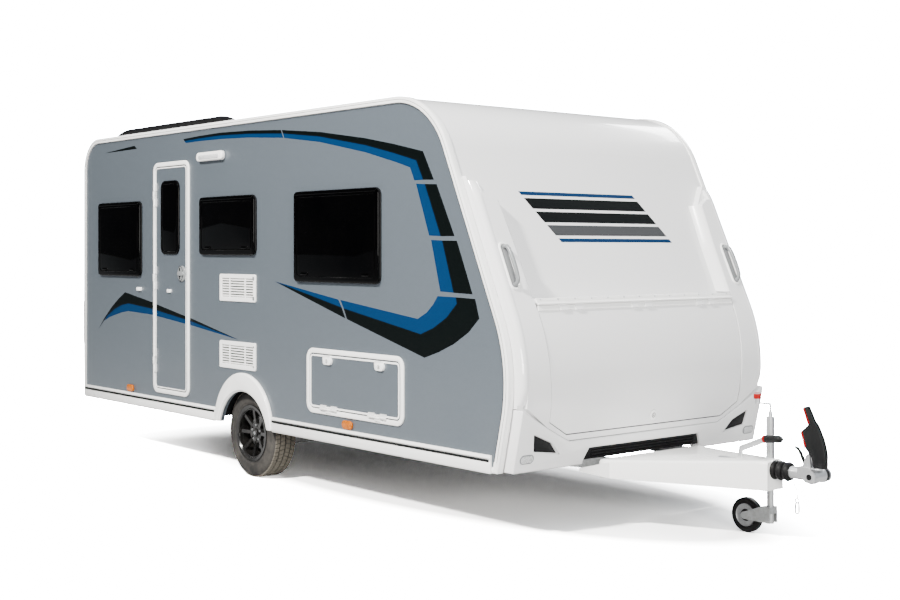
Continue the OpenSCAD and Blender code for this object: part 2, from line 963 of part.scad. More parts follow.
module roof_light_places() {
    translate([roof_light_x, 0, roof_z - 200]) children();
}

module rear_light_place() {
    translate([rear_light_x, 0, roof_z - 200]) children();
}

module roof_lights() color("#3c4146") {
    translate([roof_light_x, 0, roof_z]) {
        linear_extrude(roof_light_h) round_rect(roof_light_l, roof_light_w, 50);
    }
    translate([rear_light_x, 0, roof_z]) {
        linear_extrude(roof_light_h) round_rect(rear_light_w, rear_light_w, 50);
    }
}

module roof_rails() color("#141516") both() {
    span = roof_rail_front - roof_rail_rear;
    slab(roof_rail_y - 17, roof_rail_y + 17) {
        difference() {
            polygon([
                [roof_rail_rear, roof_z], [roof_rail_rear + 200, roof_z + roof_rail_h],
                [roof_rail_front - 160, roof_z + roof_rail_h], [roof_rail_front, roof_z]
            ]);
            for (i = [0:2]) {
                translate([roof_rail_rear + 200 + i * (span - 300) / 3, roof_z - 1]) {
                    square([(span - 300) / 3 - 80, roof_rail_h - 37]);
                }
            }
        }
    }
}

// Chassis

module beam_section() {
    polygon([
        [0, beam_z], [0, floor_z], [-flange_w, floor_z], [-flange_w, floor_z - beam_t],
        [-beam_t, floor_z - beam_t], [-beam_t, beam_z + beam_t], [-flange_w, beam_z + beam_t],
        [-flange_w, beam_z]
    ]);
}

drawbar_turn = atan2(beam_y - drawbar_y, drawbar_x - bend_x);

module chassis_frame() color("#7d8286") {
    both() {
        translate([0, beam_y, 0]) along(chassis_rear, bend_x) beam_section();
        translate([bend_x, beam_y, 0]) rotate([0, 0, -drawbar_turn]) {
            along(0, norm([drawbar_x - bend_x, beam_y - drawbar_y])) beam_section();
        }
    }
    for (x = [chassis_rear + 100, -1000, 900, bend_x - 150]) {
        translate([x - 20, -beam_y + 2, beam_z + 12]) cube([40, 2 * beam_y - 4, beam_h - 24]);
    }
}

module axle_tube() color("#74797c") {
    translate([tube_x, 0, tube_z]) rotate([90, 0, 0]) {
        cylinder(r = tube_r, h = 2 * arm_y, center = true, $fn = 6);
    }
}

// Trailing arms with stub axles and back plates
module suspension_arms() color("#5f6366") both() {
    slab(arm_y, arm_y + arm_t) {
        translate([0, tyre_r]) circle(46);
        translate([tube_x, tube_z]) circle(58);
        polygon([[0, tyre_r + 46], [0, tyre_r - 46], [tube_x, tube_z - 58], [tube_x, tube_z + 58]]);
    }
    slab(arm_y + arm_t - 1, hub_y - 2) translate([0, tyre_r]) circle(stub_r);
    slab(hub_y - 55, hub_y - 50) translate([0, tyre_r]) circle(drum_r + 6);
}

// Wheels, drawn about their own middle with the outer face towards +Y

module turned() {
    rotate([-90, 0, 0]) rotate_extrude() children();
}

module at_hub() {
    translate([0, hub_y, tyre_r]) children();
}

module tyre() {
    w = tyre_w / 2;
    turned() arc_poly([
        [rim_seat_r + 0.3, -74, 0], [rim_flange_r + 2, -74, 0], [tyre_r - 76, -w, 25], [tyre_r, -w, 42],
        [tyre_r, w, 42], [tyre_r - 76, w, 25], [rim_flange_r + 2, 74, 0], [rim_seat_r + 0.3, 74, 0]
    ]);
}

module spoke() {
    rotate([0, 0, 90]) translate([0, 12, 0]) rotate([90, 0, 0]) linear_extrude(24) {
        polygon([[44, 33], [44, 53], [rim_seat_r - 5, 76], [rim_seat_r - 5, 50]]);
    }
}

module rim() {
    turned() polygon([
        [rim_seat_r - 10, -rim_half], [rim_flange_r, -rim_half], [rim_flange_r, -75],
        [rim_seat_r, -75], [rim_seat_r, 75], [rim_flange_r, 75], [rim_flange_r, rim_half],
        [rim_seat_r - 10, rim_half]
    ]);
    rotate([-90, 0, 0]) {
        difference() {
            union() {
                translate([0, 0, 30]) cylinder(r = 72, h = 26);
                translate([0, 0, 56]) cylinder(r = 32, h = 6);
                for (i = [0:spokes - 1]) {
                    rotate([0, 0, i * 360 / spokes]) spoke();
                }
            }
            for (i = [0:4]) {
                rotate([0, 0, i * 72]) translate([54, 0, 40]) cylinder(r = 10, h = 40);
            }
        }
    }
}

module drum() {
    turned() polygon([
        [stub_r + 0.05, -45], [drum_r + 6, -45], [drum_r + 6, -37], [drum_r, -33], [drum_r, 20],
        [drum_r - 10, 30], [0, 30], [0, 4], [stub_r + 0.05, 4]
    ]);
}

module tyre_right() color("#1a1a1b") right() at_hub() tyre();

module rim_right() color("#1d1f21") right() at_hub() rim();

module drum_right() color("#55585a") right() at_hub() drum();

module tyre_left() color("#1a1a1b") at_hub() tyre();

module rim_left() color("#1d1f21") at_hub() rim();

module drum_left() color("#55585a") at_hub() drum();

// Drawbar and hitch

cover_wide = cover_tip + (cover_front_x - cover_bend_x) * 0.6;
brake_y = 59;

module cover_plan(d, rear) {
    polygon([
        [rear, cover_wide - d], [cover_bend_x, cover_wide - d], [cover_front_x - d, cover_tip - d],
        [cover_front_x - d, -cover_tip + d], [cover_bend_x, -cover_wide + d], [rear, -cover_wide + d]
    ]);
}

module cover_body(d, z0, rear) {
    hull() {
        translate([0, 0, z0]) linear_extrude(1) cover_plan(d, rear);
        translate([0, 0, cover_top_z - 70]) linear_extrude(1) cover_plan(d, rear);
        translate([0, 0, cover_top_z - 1 - d]) linear_extrude(1) cover_plan(d + 28, rear);
    }
}

module drawbar_cover() color("#e9eaea") {
    difference() {
        cover_body(0, cover_low_z, cover_rear_x);
        cover_body(cover_t, cover_low_z - 60, cover_rear_x - 60);
        translate([jockey_x, jockey_y, 0]) cylinder(r = jockey_tube_r + 6, h = 1000);
        translate([drawbar_x - 215, brake_y - 16, cover_low_z]) cube([70, 32, 400]);
        translate([drawbar_x - 20, 0, hitch_z]) rotate([0, 90, 0]) cylinder(r = bellows_r + 5, h = 300);
    }
    both() {
        for (x = [cover_bend_x, cover_bend_x + 300]) {
            translate([x, drawbar_at(x + 30) - 12, floor_z]) {
                cube([60, 24, cover_top_z - cover_t / 2 - floor_z]);
            }
        }
    }
}

// Middle of the drawbar beam's upper flange at a distance ahead of the axle
function drawbar_at(x) = beam_y - (x - bend_x) * tan(drawbar_turn) - flange_w / 2;

module overrun_body() color("#a3a7a8") {
    translate([overrun_x + 40, -100, floor_z]) cube([220, 200, 8]);
    translate([overrun_x, 0, hitch_z]) rotate([0, 90, 0]) cylinder(r = 34, h = bellows_x - overrun_x);
    translate([drawbar_x - 20, 0, hitch_z]) rotate([0, 90, 0]) cylinder(r = 25, h = head_x + 60 - drawbar_x);
}

bellows_r = 54;
bellows_folds = 3;

module bellows() color("#161617") {
    p = bellows_l / bellows_folds;
    translate([bellows_x, 0, hitch_z]) rotate([0, 90, 0]) rotate_extrude() polygon(concat(
        [[26, 0]],
        [for (i = [0:bellows_folds - 1]) each [
            [36, i * p], [bellows_r - 6, (i + 0.18) * p],
            [bellows_r, (i + 0.5) * p], [bellows_r - 6, (i + 0.82) * p]
        ]],
        [[36, bellows_l], [26, bellows_l]]
    ));
}

module coupling_head() color("#b4b8ba") {
    difference() {
        union() {
            translate([head_x, 0, hitch_z]) rotate([0, 90, 0]) cylinder(r = 34, h = 90);
            translate([head_x + 60, -38, hitch_z - 20]) cube([ball_x - head_x - 60, 76, 62]);
            translate([ball_x, 0, hitch_z - 32]) cylinder(r = 42, h = 74);
            translate([pad_x, 0, hitch_z]) rotate([90, 0, 0]) cylinder(r = pad_r, h = 150, center = true);
        }
        translate([head_x - 10, 0, hitch_z]) rotate([0, 90, 0]) cylinder(r = 25.3, h = 51);
        translate([ball_x, 0, hitch_z - 60]) cylinder(r = ball_r, h = 60);
        translate([ball_x, 0, hitch_z]) sphere(r = ball_r);
        translate([ball_x - 60, -100, hitch_z - 80]) cube([200, 200, 48]);
    }
    both() slab(20, 30) polygon([
        [ball_x - 62, hitch_z + 40], [ball_x - 8, hitch_z + 40], [ball_x - 14, hitch_z + 105],
        [ball_x - 24, hitch_z + 116], [ball_x - 36, hitch_z + 108]
    ]);
}

module coupling_handle() color("#151617") {
    translate([ball_x, 0, hitch_z]) {
        slab(-18, 18) polygon([
            [grip_out - 2, 42], [grip_out, 112], [64, 160], [52, 199], [21, 263], [-5, 296], [-40, 366],
            [-46, 369], [-64, 362], [-66, 356], [-32, 271], [-76, 234], [-80, 225], [-53, 142],
            [-11, 93], [0, 42]
        ]);
        slab(-8, 8) polygon([
            [-46, 42], [-66, 42], [-86, 84], [-106, 122], [-130, 136], [-128, 146], [-104, 140], [-84, 112]
        ]);
    }
}

module handbrake_lever() color("#8f9395") {
    translate([drawbar_x, 0, 0]) slab(brake_y - 7, brake_y + 7) polygon([
        [-203, floor_z + 8], [-166, floor_z + 8], [-170, 478], [-8, 545], [98, 556], [106, 570], [98, 588],
        [-14, 578], [-190, 506]
    ]);
}

// Jockey wheel
jockey_top = 676;
crank_l = 89;

module jockey_tube() color("#a9adaf") {
    difference() {
        union() {
            translate([jockey_x, jockey_y, 285]) cylinder(r = jockey_tube_r, h = jockey_top - 285);
            translate([jockey_x - 30, jockey_y - 30, 340]) cube([60, 54, 50]);
        }
        translate([jockey_x, jockey_y, 200]) cylinder(r = jockey_stem_r + 0.05, h = 380);
        jockey_side_cut();
    }
    translate([jockey_x, jockey_y, jockey_top - 2]) cylinder(r1 = 14, r2 = 9, h = 34);
    translate([jockey_x, jockey_y, jockey_top]) cylinder(r = 6, h = 78);
    translate([jockey_x - crank_l, jockey_y - 6, jockey_top + 68]) cube([crank_l, 12, 10]);
    translate([jockey_x - crank_l, jockey_y, jockey_top + 68]) {
        cylinder(r = 14, h = 26);
        translate([0, 0, 24]) cylinder(r = 21, h = 36);
    }
}

// Keeps the clamp clear of the drawbar beam, which it touches flat
module jockey_side_cut() {
    translate([bend_x, beam_y, 0]) rotate([0, 0, -drawbar_turn]) {
        translate([0, -200, 300]) cube([2000, 200, 120]);
    }
}

module jockey_stem() color("#a0a4a6") {
    translate([jockey_x, jockey_y, 75]) cylinder(r = jockey_stem_r, h = 485);
    for (s = [-1, 1]) {
        slab(jockey_y + s * (jockey_wheel_w / 2 + 9) - 3, jockey_y + s * (jockey_wheel_w / 2 + 9) + 3) {
            translate([jockey_axle[0], jockey_axle[2]]) circle(20);
            polygon([
                [jockey_axle[0], jockey_axle[2] - 20], [jockey_x + 20, 78], [jockey_x + 20, 170],
                [jockey_x - 30, 170], [jockey_axle[0], jockey_axle[2] + 20]
            ]);
        }
    }
    translate([jockey_x - 30, jockey_y - jockey_wheel_w / 2 - 12, 130]) {
        cube([50, jockey_wheel_w + 24, 40]);
    }
    translate(jockey_axle) rotate([90, 0, 0]) cylinder(r = 8, h = jockey_wheel_w + 24, center = true);
}

module jockey_wheel() color("#3a3c3e") {
    w = jockey_wheel_w / 2;
    translate(jockey_axle) turned() arc_poly([
        [8.05, -w, 0], [30, -w, 0], [34, -w + 10, 0], [66, -w + 10, 0], [70, -w, 6],
        [jockey_wheel_r, -w, 14], [jockey_wheel_r, w, 14], [70, w, 6], [66, w - 10, 0],
        [34, w - 10, 0], [30, w, 0], [8.05, w, 0]
    ]);
}

// Corner steadies, drawn for the front left: the leg points back from its hinge

module steady_bracket(x) {
    translate([x - 60, steady_y - 50, floor_z - 8]) cube([120, 100, 8]);
    for (s = [-1, 1]) {
        slab(steady_y + s * 36 - 4, steady_y + s * 36 + 4) {
            translate([x, steady_z]) circle(24);
            translate([x - 24, steady_z]) square([48, floor_z - 4 - steady_z]);
        }
    }
    slab(steady_y - 36, steady_y + 36) translate([x, steady_z]) circle(8);
}

module steady_leg(x) {
    difference() {
        union() {
            slab(steady_y - 26, steady_y + 26) {
                translate([x, steady_z]) circle(20);
                translate([x - steady_len, steady_z - 16]) square([steady_len, 32]);
            }
            translate([x - steady_len - 10, steady_y - 45, steady_z - 26]) cube([14, 90, 56]);
        }
        slab(steady_y - 60, steady_y + 60) translate([x, steady_z]) circle(8.05);
        translate([x - steady_len + 40, steady_y - 22, steady_z - 12]) cube([steady_len - 80, 44, 60]);
    }
}

module steady_brackets() color("#8b8f91") {
    both() {
        steady_bracket(steady_front_x);
        mirror([1, 0, 0]) steady_bracket(steady_rear_x);
    }
}

module steady_leg_rear_right() color("#9a9d9e") right() mirror([1, 0, 0]) steady_leg(steady_rear_x);

module steady_leg_rear_left() color("#9a9d9e") mirror([1, 0, 0]) steady_leg(steady_rear_x);

module steady_leg_front_right() color("#9a9d9e") right() steady_leg(steady_front_x);

module steady_leg_front_left() color("#9a9d9e") steady_leg(steady_front_x);

// Breakaway cable: its start under the coupling's neck, and steps down and forward from there
cable_start = [head_x + 6, 0, hitch_z - 34];
cable_steps = [
    [0, 0], [0, -10], [3, -20], [8, -30], [14, -40], [20, -50], [25, -60], [28, -70], [28, -84]
];
cable_r = 3;
cable_sides = 8;
cable_end = cable_start + [28, 0, -84];

// Direction of the cable at a step, level at neither end
function cable_way(i) = i == 0 || i == len(cable_steps) - 1 ? [0, -1]
    : unit(unit(cable_steps[i + 1] - cable_steps[i]) + unit(cable_steps[i] - cable_steps[i - 1]));

function cable_ring(i) = let (w = cable_way(i), c = cable_steps[i]) [
    for (k = [0:cable_sides - 1])
        let (a = k * 360 / cable_sides, u = cable_r * cos(a))
        cable_start + [c[0] - w[1] * u, cable_r * sin(a), c[1] + w[0] * u]
];

module breakaway_cable() color("#2a2b2c") {
    n = len(cable_steps);
    m = cable_sides;
    polyhedron(
        points = [for (i = [0:n - 1]) each cable_ring(i)],
        faces = concat(
            [[for (k = [0:m - 1]) m - 1 - k]],
            [[for (k = [0:m - 1]) (n - 1) * m + k]],
            [for (i = [0:n - 2], k = [0:m - 1]) each [
                [i * m + k, i * m + (k + 1) % m, (i + 1) * m + (k + 1) % m],
                [i * m + k, (i + 1) * m + (k + 1) % m, (i + 1) * m + k]
            ]]
        )
    );
}

// Eye and snap hook on the cable's end
module breakaway_hook() color("#a8acae") {
    translate(cable_end) {
        translate([0, 0, -20]) cylinder(r = 5, h = 20);
        slab(-3, 3) translate([0, -32]) {
            difference() {
                circle(15);
                circle(9);
            }
        }
        slab(-4, 4) translate([0, -74]) {
            difference() {
                round_rect(30, 64, 14);
                square([16, 50], center = true);
            }
        }
    }
}

in_frame() floor_panel();
in_frame() side_wall_right();
in_frame() side_wall_left();
in_frame() roof_panel();
in_frame() front_panel();
in_frame() rear_panel();
in_frame() edge_rails();
in_frame() skirts();
in_frame() arch_trims();
in_frame() wheel_boxes();
in_frame() window_frames();
in_frame() window_panes();
in_frame() hatch_frames();
in_frame() fridge_vents();
in_frame() awning_lamp();
in_frame() side_markers();
in_frame() front_surround();
in_frame() front_bumper();
in_frame() bumper_grilles();
in_frame() grab_handles();
in_frame() gas_locker();
in_frame() rear_bumper();
in_frame() rear_lamps();
in_frame() roof_rails();
in_frame() roof_lights();
in_frame() chassis_frame();
in_frame() axle_tube();
in_frame() suspension_arms();
in_frame() drawbar_cover();
in_frame() overrun_body();
in_frame() bellows();
in_frame() coupling_head();
in_frame() coupling_handle();
in_frame() handbrake_lever();
in_frame() jockey_tube();
in_frame() steady_brackets();
in_frame() breakaway_cable();
in_frame() breakaway_hook();
in_frame() tyre_right();
in_frame() rim_right();
in_frame() drum_right();
in_frame() tyre_left();
in_frame() rim_left();
in_frame() drum_left();
in_frame() jockey_stem();
in_frame() jockey_wheel();
in_frame() door_leaf();
in_frame() door_window();
in_frame() door_handle();
in_frame() gas_lid();
in_frame() locker_door();
in_frame() service_door();
in_frame() steady_leg_rear_right();
in_frame() steady_leg_rear_left();
in_frame() steady_leg_front_right();
in_frame() steady_leg_front_left();
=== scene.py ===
import contextlib
import functools
import json
import math

import bmesh
import bpy
from mathutils import Matrix, Vector
from mathutils.bvhtree import BVHTree

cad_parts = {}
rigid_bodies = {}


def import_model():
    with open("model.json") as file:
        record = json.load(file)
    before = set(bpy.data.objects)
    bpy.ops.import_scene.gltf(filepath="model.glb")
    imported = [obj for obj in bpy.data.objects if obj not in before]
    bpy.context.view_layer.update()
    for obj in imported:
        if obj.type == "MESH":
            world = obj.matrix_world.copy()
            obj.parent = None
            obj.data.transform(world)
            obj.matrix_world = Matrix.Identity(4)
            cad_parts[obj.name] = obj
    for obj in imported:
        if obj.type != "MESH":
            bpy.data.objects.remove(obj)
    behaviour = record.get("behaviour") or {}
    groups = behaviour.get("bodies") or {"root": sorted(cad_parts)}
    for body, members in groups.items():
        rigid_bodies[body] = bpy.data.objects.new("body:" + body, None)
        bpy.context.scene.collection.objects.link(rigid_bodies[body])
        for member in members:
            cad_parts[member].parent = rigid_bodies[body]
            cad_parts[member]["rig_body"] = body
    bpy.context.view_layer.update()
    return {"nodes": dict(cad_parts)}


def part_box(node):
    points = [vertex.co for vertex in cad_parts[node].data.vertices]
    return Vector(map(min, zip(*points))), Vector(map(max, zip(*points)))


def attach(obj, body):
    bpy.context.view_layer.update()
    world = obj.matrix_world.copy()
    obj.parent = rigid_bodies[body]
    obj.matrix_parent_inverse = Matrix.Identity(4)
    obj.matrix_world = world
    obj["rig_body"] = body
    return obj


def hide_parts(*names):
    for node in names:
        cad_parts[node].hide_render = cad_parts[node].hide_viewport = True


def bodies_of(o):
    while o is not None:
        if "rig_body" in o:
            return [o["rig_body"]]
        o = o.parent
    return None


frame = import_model()        # nodes of the imported caravan

bl_info = {
    "name": "Touring Caravan",
    "version": (1, 0, 0),
    "blender": (4, 5, 0),
    "location": "View3D > Sidebar > Caravan",
    "description": "Paint, glazing, trim and running gear for a single-axle touring caravan",
    "category": "Add Mesh",
}

# Places read from the frame, in metres: +X to the hitch, +Y to the left, +Z up
NODES = frame["nodes"]
WALL_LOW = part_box("side_wall_right")[0]
RIM_LOW, RIM_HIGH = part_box("rim_right")
AXLE_X = (RIM_LOW[0] + RIM_HIGH[0]) / 2
AXLE_Z = (RIM_LOW[2] + RIM_HIGH[2]) / 2
HALF = -WALL_LOW[1]      # half the width over the side skins

# Thickness of a stripe film, and how far its back lies in the skin
FILM = 0.0010
FILM_SINK = 0.0003

WALLS = ((-1, "right"), (1, "left"))      # the door is on the right


# Values that a user would change


def colour(name, description, default):
    return bpy.props.FloatVectorProperty(
        name=name, description=description, subtype="COLOR", size=4, min=0.0, max=1.0, default=(*default, 1.0))


class CaravanPaint(bpy.types.PropertyGroup):
    """Colours of the panels, stripes and plastics"""

    side: colour("Side skin", "Metallic grey of the side walls", (0.095, 0.114, 0.133))
    white: colour("White skin", "White of the nose, roof and tail", (0.80, 0.80, 0.80))
    trim: colour("White trim", "White of rails, skirts and frames", (0.90, 0.90, 0.885))
    stripe_dark: colour("Dark stripe", "Near black film of the stripes", (0.0012, 0.0022, 0.0022))
    stripe_blue: colour("Blue stripe", "Blue film of the stripes", (0.0012, 0.021, 0.068))
    glass: colour("Glazing", "Tint of the acrylic windows", (0.0002, 0.0002, 0.0003))


class CaravanTrim(bpy.types.PropertyGroup):
    """Sizes of the trim that dresses the panels"""

    tread_blocks: bpy.props.IntProperty(
        name="Tread blocks", description="Blocks round each shoulder of a tyre",
        min=24, max=96, default=60)
    vent_slats: bpy.props.IntProperty(
        name="Vent slats", description="Slats in each half of a refrigerator vent",
        min=4, max=16, default=7)


class CaravanStudio(bpy.types.PropertyGroup):
    """Camera, floor and light of the studio"""

    camera_place: bpy.props.FloatVectorProperty(
        name="Camera place", description="Where the camera stands", subtype="TRANSLATION",
        size=3, default=(7.58515, -6.12435, 1.62184))
    camera_turn: bpy.props.FloatProperty(
        name="Camera turn", description="Heading of the level camera, from +Y to the left",
        subtype="ANGLE", default=math.radians(50.14))
    lens: bpy.props.FloatProperty(
        name="Lens", description="Focal length on a 36 mm wide sensor", min=20.0, max=200.0,
        default=53.84)
    rise: bpy.props.FloatProperty(
        name="Rise", description="Vertical shift of the view as a share of its width",
        min=-0.2, max=0.2, default=-0.0558)
    floor_size: bpy.props.FloatProperty(
        name="Floor", description="Width of the studio floor", subtype="DISTANCE",
        min=20.0, max=400.0, default=160.0)
    # Floor glow is the floor's gain within the painted shadow round the caravan; beyond it the floor is brightened to
    # plain white
    floor_glow: bpy.props.FloatProperty(
        name="Floor glow", description="How bright the lit floor looks to the camera",
        min=0.5, max=20.0, default=2.0)


# Shader groups shared by the finishes


def shader_group(name, inputs, outputs):
    """A new shader node group; inputs maps names to a colour or a number, outputs lists names."""
    tree = bpy.data.node_groups.new(name, "ShaderNodeTree")
    for label, default in inputs.items():
        kind = "NodeSocketColor" if isinstance(default, tuple) else "NodeSocketFloat"
        tree.interface.new_socket(label, in_out="INPUT", socket_type=kind).default_value = default
    for label in outputs:
        kind = "NodeSocketColor" if label == "Color" else "NodeSocketFloat"
        tree.interface.new_socket(label, in_out="OUTPUT", socket_type=kind)
    source = tree.nodes.new("NodeGroupInput")
    sink = tree.nodes.new("NodeGroupOutput")
    return tree, source.outputs, sink.inputs, object_place(tree)


def node(tree, kind, links=(), **settings):
    """Add a node; links lists (input, socket or value)."""
    made = tree.nodes.new(kind)
    for key, value in settings.items():
        setattr(made, key, value)
    for key, value in links:
        if isinstance(value, bpy.types.NodeSocket):
            tree.links.new(value, made.inputs[key])
        else:
            made.inputs[key].default_value = value
    return made


def math_node(tree, operation, a, b=0.0, clamp=False):
    return node(tree, "ShaderNodeMath", [(0, a), (1, b)], operation=operation, use_clamp=clamp).outputs[0]


def vector_node(tree, operation, *inputs):
    """Vector arithmetic; LENGTH and DOT_PRODUCT give a number."""
    made = node(tree, "ShaderNodeVectorMath", list(enumerate(inputs)), operation=operation)
    return made.outputs["Value" if operation in ("LENGTH", "DOT_PRODUCT") else "Vector"]


def scaled_by(tree, vector, factor):
    links = [(0, vector), ("Scale", factor)]
    return node(tree, "ShaderNodeVectorMath", links, operation="SCALE").outputs[0]


def object_place(tree):
    return node(tree, "ShaderNodeTexCoord").outputs["Object"]


def spread(tree, value, low, high, to_low=0.0, to_high=1.0):
    """Map a value from one range to another, clamped."""
    made = node(tree, "ShaderNodeMapRange", [
        ("Value", value), ("From Min", low), ("From Max", high),
        ("To Min", to_low), ("To Max", to_high)], clamp=True)
    return made.outputs["Result"]


def blend_colour(tree, factor, a, b):
    """Mix two colours; 6, 7 and 2 are the colour sockets of the mix node."""
    return node(tree, "ShaderNodeMix", [("Factor", factor), (6, a), (7, b)], data_type="RGBA").outputs[2]


def soil_group():
    """Film of road dust: thicker near the ground and in soft patches."""
    tree, given, out, place = shader_group(
        "road_dust",
        {"Color": (0.8, 0.8, 0.8, 1.0), "Dust Color": (0.32, 0.29, 0.25, 1.0), "Amount": 0.2, "Top": 0.9,
         "Patch Scale": 3.0, "Roughness": 0.3},
        ["Color", "Roughness"])
    axes = node(tree, "ShaderNodeSeparateXYZ", [(0, place)])
    height = math_node(tree, "DIVIDE", axes.outputs["Z"], given["Top"])
    low = spread(tree, height, 0.0, 1.0, 1.0, 0.0)
    patch = node(tree, "ShaderNodeTexNoise", [
        ("Vector", place), ("Scale", given["Patch Scale"]), ("Detail", 6.0), ("Roughness", 0.6)])
    fine = node(tree, "ShaderNodeTexNoise", [("Vector", place), ("Scale", 140.0), ("Detail", 3.0)])
    cloud = spread(tree, patch.outputs["Fac"], 0.35, 0.75)
    speck = spread(tree, fine.outputs["Fac"], 0.40, 0.75, 0.5, 1.0)
    mask = math_node(tree, "MULTIPLY", math_node(tree, "MULTIPLY", cloud, speck), low)
    mask = math_node(tree, "MULTIPLY", mask, given["Amount"], clamp=True)
    tree.links.new(blend_colour(tree, mask, given["Color"], given["Dust Color"]), out["Color"])
    rough = math_node(tree, "ADD", given["Roughness"], math_node(tree, "MULTIPLY", mask, 0.5), True)
    tree.links.new(rough, out["Roughness"])
    return tree


def flake_group():
    """Metallic flake and the faint waves of a bonded sheet."""
    tree, given, out, place = shader_group(
        "paint_flake",
        {"Color": (0.5, 0.5, 0.5, 1.0), "Flake": 0.12, "Flake Scale": 900.0, "Wave": 0.3},
        ["Color", "Height"])
    cells = node(tree, "ShaderNodeTexVoronoi", [
        ("Vector", place), ("Scale", given["Flake Scale"])])
    shade = node(tree, "ShaderNodeSeparateColor", [(0, cells.outputs["Color"])])
    light = spread(tree, shade.outputs[0], 0.0, 1.0, -1.0, 1.0)
    gain = math_node(tree, "ADD", math_node(tree, "MULTIPLY", light, given["Flake"]), 1.0)
    tree.links.new(scaled_by(tree, given["Color"], gain), out["Color"])
    wave = node(tree, "ShaderNodeTexNoise", [("Vector", place), ("Scale", 1.6), ("Detail", 2.0)])
    peel = node(tree, "ShaderNodeTexNoise", [("Vector", place), ("Scale", 260.0), ("Detail", 1.0)])
    fine = math_node(tree, "MULTIPLY", peel.outputs["Fac"], 0.02)
    tall = math_node(tree, "MULTIPLY", wave.outputs["Fac"], given["Wave"])
    tree.links.new(math_node(tree, "ADD", tall, fine), out["Height"])
    return tree


def grain_group():
    """Leather-like grain of moulded plastic and rubber."""
    tree, given, out, place = shader_group(
        "moulded_grain",
        {"Scale": 400.0, "Cloud": 0.3, "Color": (0.1, 0.1, 0.1, 1.0), "Fade": (0.2, 0.2, 0.2, 1.0)},
        ["Color", "Height"])
    cells = node(tree, "ShaderNodeTexVoronoi", [
        ("Vector", place), ("Scale", given["Scale"])], feature="SMOOTH_F1")
    noise = node(tree, "ShaderNodeTexNoise", [("Vector", place), ("Scale", 7.0), ("Detail", 5.0)])
    cloud = spread(tree, noise.outputs["Fac"], 0.4, 0.75)
    fade = math_node(tree, "MULTIPLY", cloud, given["Cloud"])
    tree.links.new(blend_colour(tree, fade, given["Color"], given["Fade"]), out["Color"])
    tree.links.new(cells.outputs["Distance"], out["Height"])
    return tree


def spangle_group():
    """Crystals of hot-dip zinc, with dull streaks."""
    tree, given, out, place = shader_group(
        "zinc_spangle",
        {"Color": (0.5, 0.52, 0.53, 1.0), "Dull": (0.36, 0.37, 0.37, 1.0), "Scale": 90.0, "Roughness": 0.38},
        ["Color", "Roughness", "Height"])
    warp = node(tree, "ShaderNodeTexNoise", [("Vector", place), ("Scale", 30.0), ("Detail", 2.0)])
    moved = vector_node(tree, "ADD", place, scaled_by(tree, warp.outputs["Color"], 0.02))
    cells = node(tree, "ShaderNodeTexVoronoi", [("Vector", moved), ("Scale", given["Scale"])])
    shade = node(tree, "ShaderNodeSeparateColor", [(0, cells.outputs["Color"])])
    streak = node(tree, "ShaderNodeTexNoise", [("Vector", place), ("Scale", 5.0), ("Detail", 8.0)])
    dull = spread(tree, streak.outputs["Fac"], 0.45, 0.8, 0.0, 0.6)
    mixed = math_node(tree, "ADD", math_node(tree, "MULTIPLY", shade.outputs[0], 0.5), dull, True)
    tree.links.new(blend_colour(tree, mixed, given["Color"], given["Dull"]), out["Color"])
    rough = math_node(tree, "ADD", given["Roughness"], math_node(tree, "MULTIPLY", mixed, 0.25))
    tree.links.new(rough, out["Roughness"])
    tree.links.new(shade.outputs[1], out["Height"])
    return tree


@functools.cache
def group(name):
    """A shared shader group, built at its first use."""
    return {"soil": soil_group, "flake": flake_group, "grain": grain_group, "spangle": spangle_group}[name]()


def tint(color, gain):
    """A lighter or darker shade of a colour."""
    return tuple(gain * c for c in color[:3]) + (1.0,)


class Finish:
    """One material: a Principled shader with groups placed in front of it."""

    def __init__(self, name, color, roughness, **sockets):
        self.material = bpy.data.materials.new(name)
        self.material.use_nodes = True
        self.material.diffuse_color = color
        self.tree = self.material.node_tree
        self.shader = self.tree.nodes["Principled BSDF"]
        self.shader.inputs["Base Color"].default_value = color
        self.shader.inputs["Roughness"].default_value = roughness
        for key, value in sockets.items():
            label = "Specular IOR Level" if key == "specular" else key.replace("_", " ").title()
            self.shader.inputs[label].default_value = value
        self.color = color
        self.roughness = roughness

    def put(self, socket, value):
        self.tree.links.new(value, self.shader.inputs[socket])

    def place(self, name, **values):
        made = self.tree.nodes.new("ShaderNodeGroup")
        made.node_tree = group(name)
        for key, value in values.items():
            made.inputs[key.replace("_", " ").title()].default_value = value
        return made

    def bump(self, height, distance):
        made = node(self.tree, "ShaderNodeBump", [("Height", height), ("Distance", distance), ("Strength", 1.0)])
        self.put("Normal", made.outputs["Normal"])

    def soiled(self, color, amount, top, scale):
        """Dust over a colour socket, up to a height; scale is that of its patches."""
        dust = self.place("soil", amount=amount, top=top, patch_scale=scale, roughness=self.roughness)
        self.tree.links.new(color, dust.inputs["Color"])
        self.put("Base Color", dust.outputs["Color"])
        self.put("Roughness", dust.outputs["Roughness"])
        return dust

    def grained(self, scale, depth, cloud, fade):
        grain = self.place("grain", scale=scale, cloud=cloud, color=self.color, fade=fade)
        self.put("Base Color", grain.outputs["Color"])
        self.bump(grain.outputs["Height"], depth)
        return grain


def paint():
    return bpy.context.scene.caravan_paint


